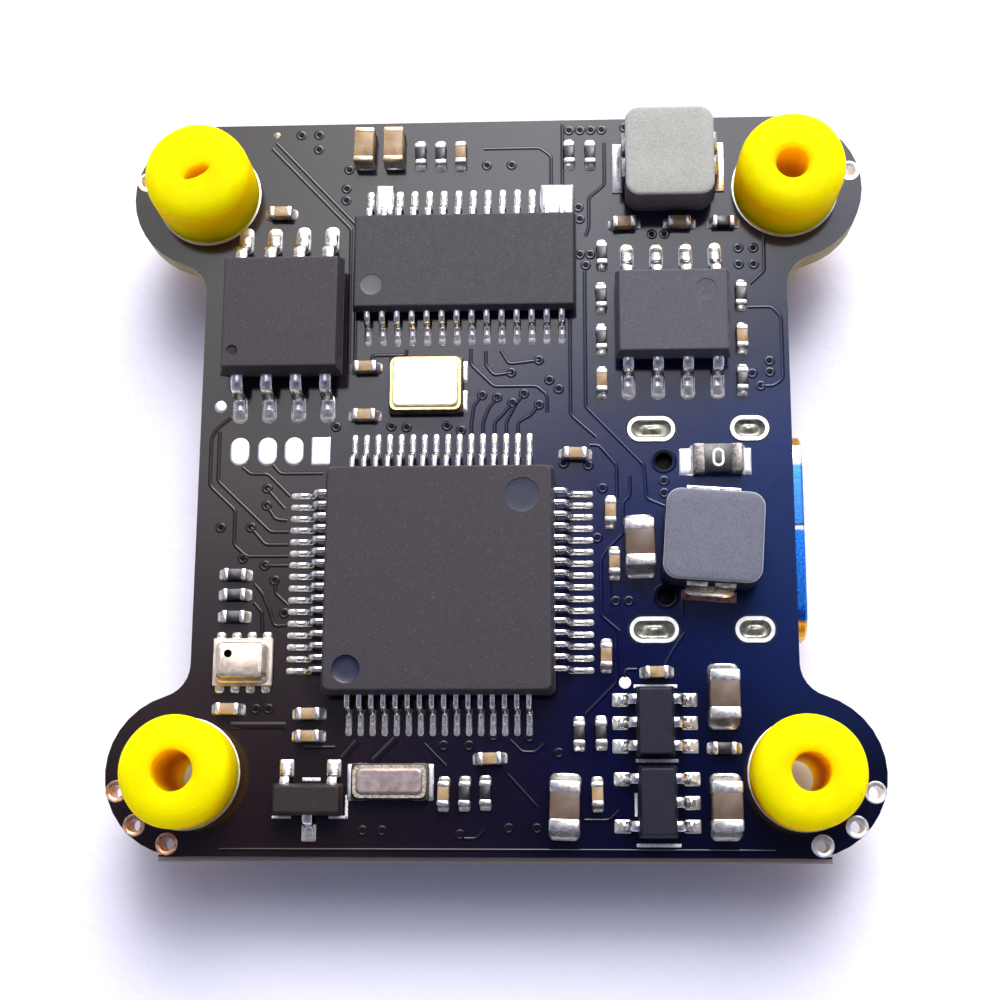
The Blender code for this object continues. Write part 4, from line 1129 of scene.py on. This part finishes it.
def build_boot_button():
    """The button's pressed cover with a round window, its terminals and the domed plunger."""
    centre, size = centre_of("boot_button_cover")
    bm, terminals, cap = new_meshes(3)
    outline = rounded(size.x - 0.02, size.y - 0.02, 0.16, 11)
    window = disc(0.66, len(outline))
    loft(bm, [layer(outline, 0.03), layer(outline, size.z), layer(window, size.z, 1.02),
              layer(window, size.z - 0.03), layer(window, 0.03), layer(window, 0.0, 1.06),
              layer(outline, 0.0, 0.97)], seat("boot_button_cover"), closed=True)
    piece("boot_button_plate", bm, [STEEL], ["boot_button_cover"])
    path = rounded_path(((-0.3, 0.35), (0.12, 0.35), (0.2, 0.07), (0.55, 0.07)), 0.12)
    for sign_x, sign_y in corners():
        x, y = centre.x + sign_x * size.x / 2, centre.y + sign_y * 0.85
        strip(terminals, path, 0.45, 0.12, at(x, y, BOTTOM - 0.02, 0.0 if sign_x > 0 else 180.0, True))
    piece("boot_button_terminals", terminals, [TINNED])
    reach = centre_of("boot_button_plunger")[1].z
    levels = ((0.83, 0.0), (0.85, 0.03), (0.85, 0.1), (0.83, 0.12), (0.575, 0.13), (0.575, reach - 0.1),
              (0.55, reach - 0.03), (0.48, reach), (0.3, reach - 0.02), (0.1, reach - 0.03))
    loft(cap, discs(64, *levels), seat("boot_button_plunger", flip=True))
    piece("boot_button_cap", cap, [BUTTON], ["boot_button_plunger"], body="plunger")


def build_motion_sensor():
    """A small leadless chip with gold edge pads and a dot in one corner."""
    height = centre_of("motion_sensor")[1].z
    place = seat("motion_sensor", flip=True)
    bm, dot = new_meshes(2)
    side_wall = rounded(3.0, 2.5, 0.06, 3)
    top = rounded(2.94, 2.44, 0.05, 3)
    loft(bm, [layer(side_wall, 0.0), layer(side_wall, height - 0.04), layer(top, height)], place)
    for x in spread(4, 0.5):
        for side in (1, -1):
            brick(bm, (0.26, 0.05, 0.22), place @ shift(x, side * 1.25), 0.02, 1)
    moulded = piece("motion_sensor_body", bm, [DARK_MOULDING, GOLD], ["motion_sensor"])
    loft(dot, discs(24, (0.2, height - 0.03), (0.2, height + 0.2)), place @ shift(-1.1, 0.85))
    carve(moulded, dot)


def build_status_light():
    random.seed(41)
    place = seat("status_light", flip=True)
    bm, solder = new_meshes(2)
    end_cap_part(bm, solder, place, (1.6, 0.8, 0.3), 0.3, 0.3)
    dome(bm, rounded(0.95, 0.76, 0.1, 6), place @ shift(0, 0, 0.3), 0.24, 6.0, 2)
    piece("status_light_package", bm, [BASE_CERAMIC, GOLD, LENS], ["status_light"])
    piece("status_light_solder", solder, [SOLDER], sharp=60.0)


def dress_kept_nodes():
    """The frame's own solids that stay in view take their material and a bevel."""
    kept = {"circuit_board": (MASK, 0.06, 1), "usb_insulator": (CORE, 0.08, 3),
            "cable_socket": (IVORY, 0.1, 3), "boot_button_base": (CORE, 0.06, 3)}
    for name, (material, width, segments) in kept.items():
        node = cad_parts[name]
        node.data.materials.clear()
        node.data.materials.append(material)
        bevel = node.modifiers.new("soft_edges", "BEVEL")
        bevel.width = width * MM
        bevel.segments = segments
        bevel.limit_method = "ANGLE"
        bevel.angle_limit = math.radians(50.0)
        bevel.harden_normals = True


# ---- floor, light and camera

FLOOR_SIZE = 4.0
KEY_PLACE = (0.06, 0.40, 0.42)
KEY_SIZE = (0.3, 0.22)
KEY_POWER = 2.1
PANEL_RADIANCE = 7.0


def build_stage():
    grid = bmesh.new()
    bmesh.ops.create_grid(grid, x_segments=8, y_segments=8, size=FLOOR_SIZE)
    paper = Surface("floor_paper", srgb((230, 229, 244)), roughness=0.9)
    paper.bump(paper.noise(1.5), 0.05)
    floor = add_object("floor", mesh_of("floor", grid, [paper.material]))
    floor.location.z = -0.01 * MM


def build_key_light():
    """One soft rectangular light behind and above the board, aimed at it."""
    light = bpy.data.lights.new("key_panel", "AREA")
    light.shape = "RECTANGLE"
    light.size, light.size_y = KEY_SIZE
    light.energy = KEY_POWER
    light.color = (1.0, 0.985, 0.96)
    panel = add_object("key_panel", light)
    panel.location = KEY_PLACE
    panel.rotation_euler = (-Vector(KEY_PLACE)).to_track_quat("-Z", "Y").to_euler()


def build_world():
    """A bluish room, darker overhead and in front, with one broad bright panel behind the board."""
    world = bpy.data.worlds.new("studio")
    bpy.context.scene.world = world
    world.use_nodes = True
    graph = Graph(world.node_tree)
    direction = graph.add("TexCoord", {}, "Generated")
    x, y, z = (graph.add("SeparateXYZ", {"Vector": direction}, axis) for axis in "XYZ")
    slant = graph.maths("MULTIPLY_ADD", x, -0.45, y)
    panel = graph.ramp(
        slant, (0.12, (0.0, 0.0, 0.0)), (0.18, (0.03, 0.03, 0.035)), (0.225, (0.17, 0.17, 0.18)),
        (0.27, (0.3, 0.3, 0.31)), (0.33, (0.66, 0.655, 0.65)), (0.42, (0.86, 0.85, 0.83)))
    for value, start, stop in ((x, -0.38, -0.04), (x, 0.65, 0.5), (z, 0.12, 0.3)):
        panel = graph.scaled(panel, graph.range(value, start, stop))
    room = graph.ramp(z, (0.1, (0.86, 0.88, 0.96)), (0.6, (0.42, 0.45, 0.62)),
                      (1.0, (0.07, 0.08, 0.17)))
    room = graph.scaled(room, graph.range(y, -0.8, 0.2, 0.4, 1.0))
    bright = graph.scaled(panel, PANEL_RADIANCE)
    light = graph.add("VectorMath", {0: room, 1: bright}, "Vector", operation="ADD")
    graph.feed(graph.nodes["Background"].inputs["Color"], light)


def build_camera():
    lens = bpy.data.cameras.new("camera")
    lens.lens = CAMERA_LENS
    lens.sensor_width = 36.0
    lens.clip_start = 0.001
    camera = add_object("camera", lens)
    camera.location = Vector(CAMERA_PLACE) * MM
    camera.rotation_euler = [math.radians(angle) for angle in CAMERA_TURN]
    bpy.context.scene.camera = camera
    bpy.context.scene.view_settings.view_transform = "Standard"


build_grommets()
build_chips()
build_two_ended()
build_link()
build_inductor("power_inductor_back", 0.0, PALE_SKIN, (CREAM_RING, BRIGHT))
build_inductor("power_inductor_right", 86.0, LAVENDER_SKIN, (BRIGHT, STRAP_FOOT))
build_cans()
build_pressure_sensor()
build_tracks()
build_vias()
build_plated_rings()
build_usb_joints()
build_pads()
build_silkscreen()
build_usb()
build_cable_socket()
build_boot_button()
build_motion_sensor()
build_status_light()
dress_kept_nodes()
build_stage()
build_key_light()
build_world()
build_camera()
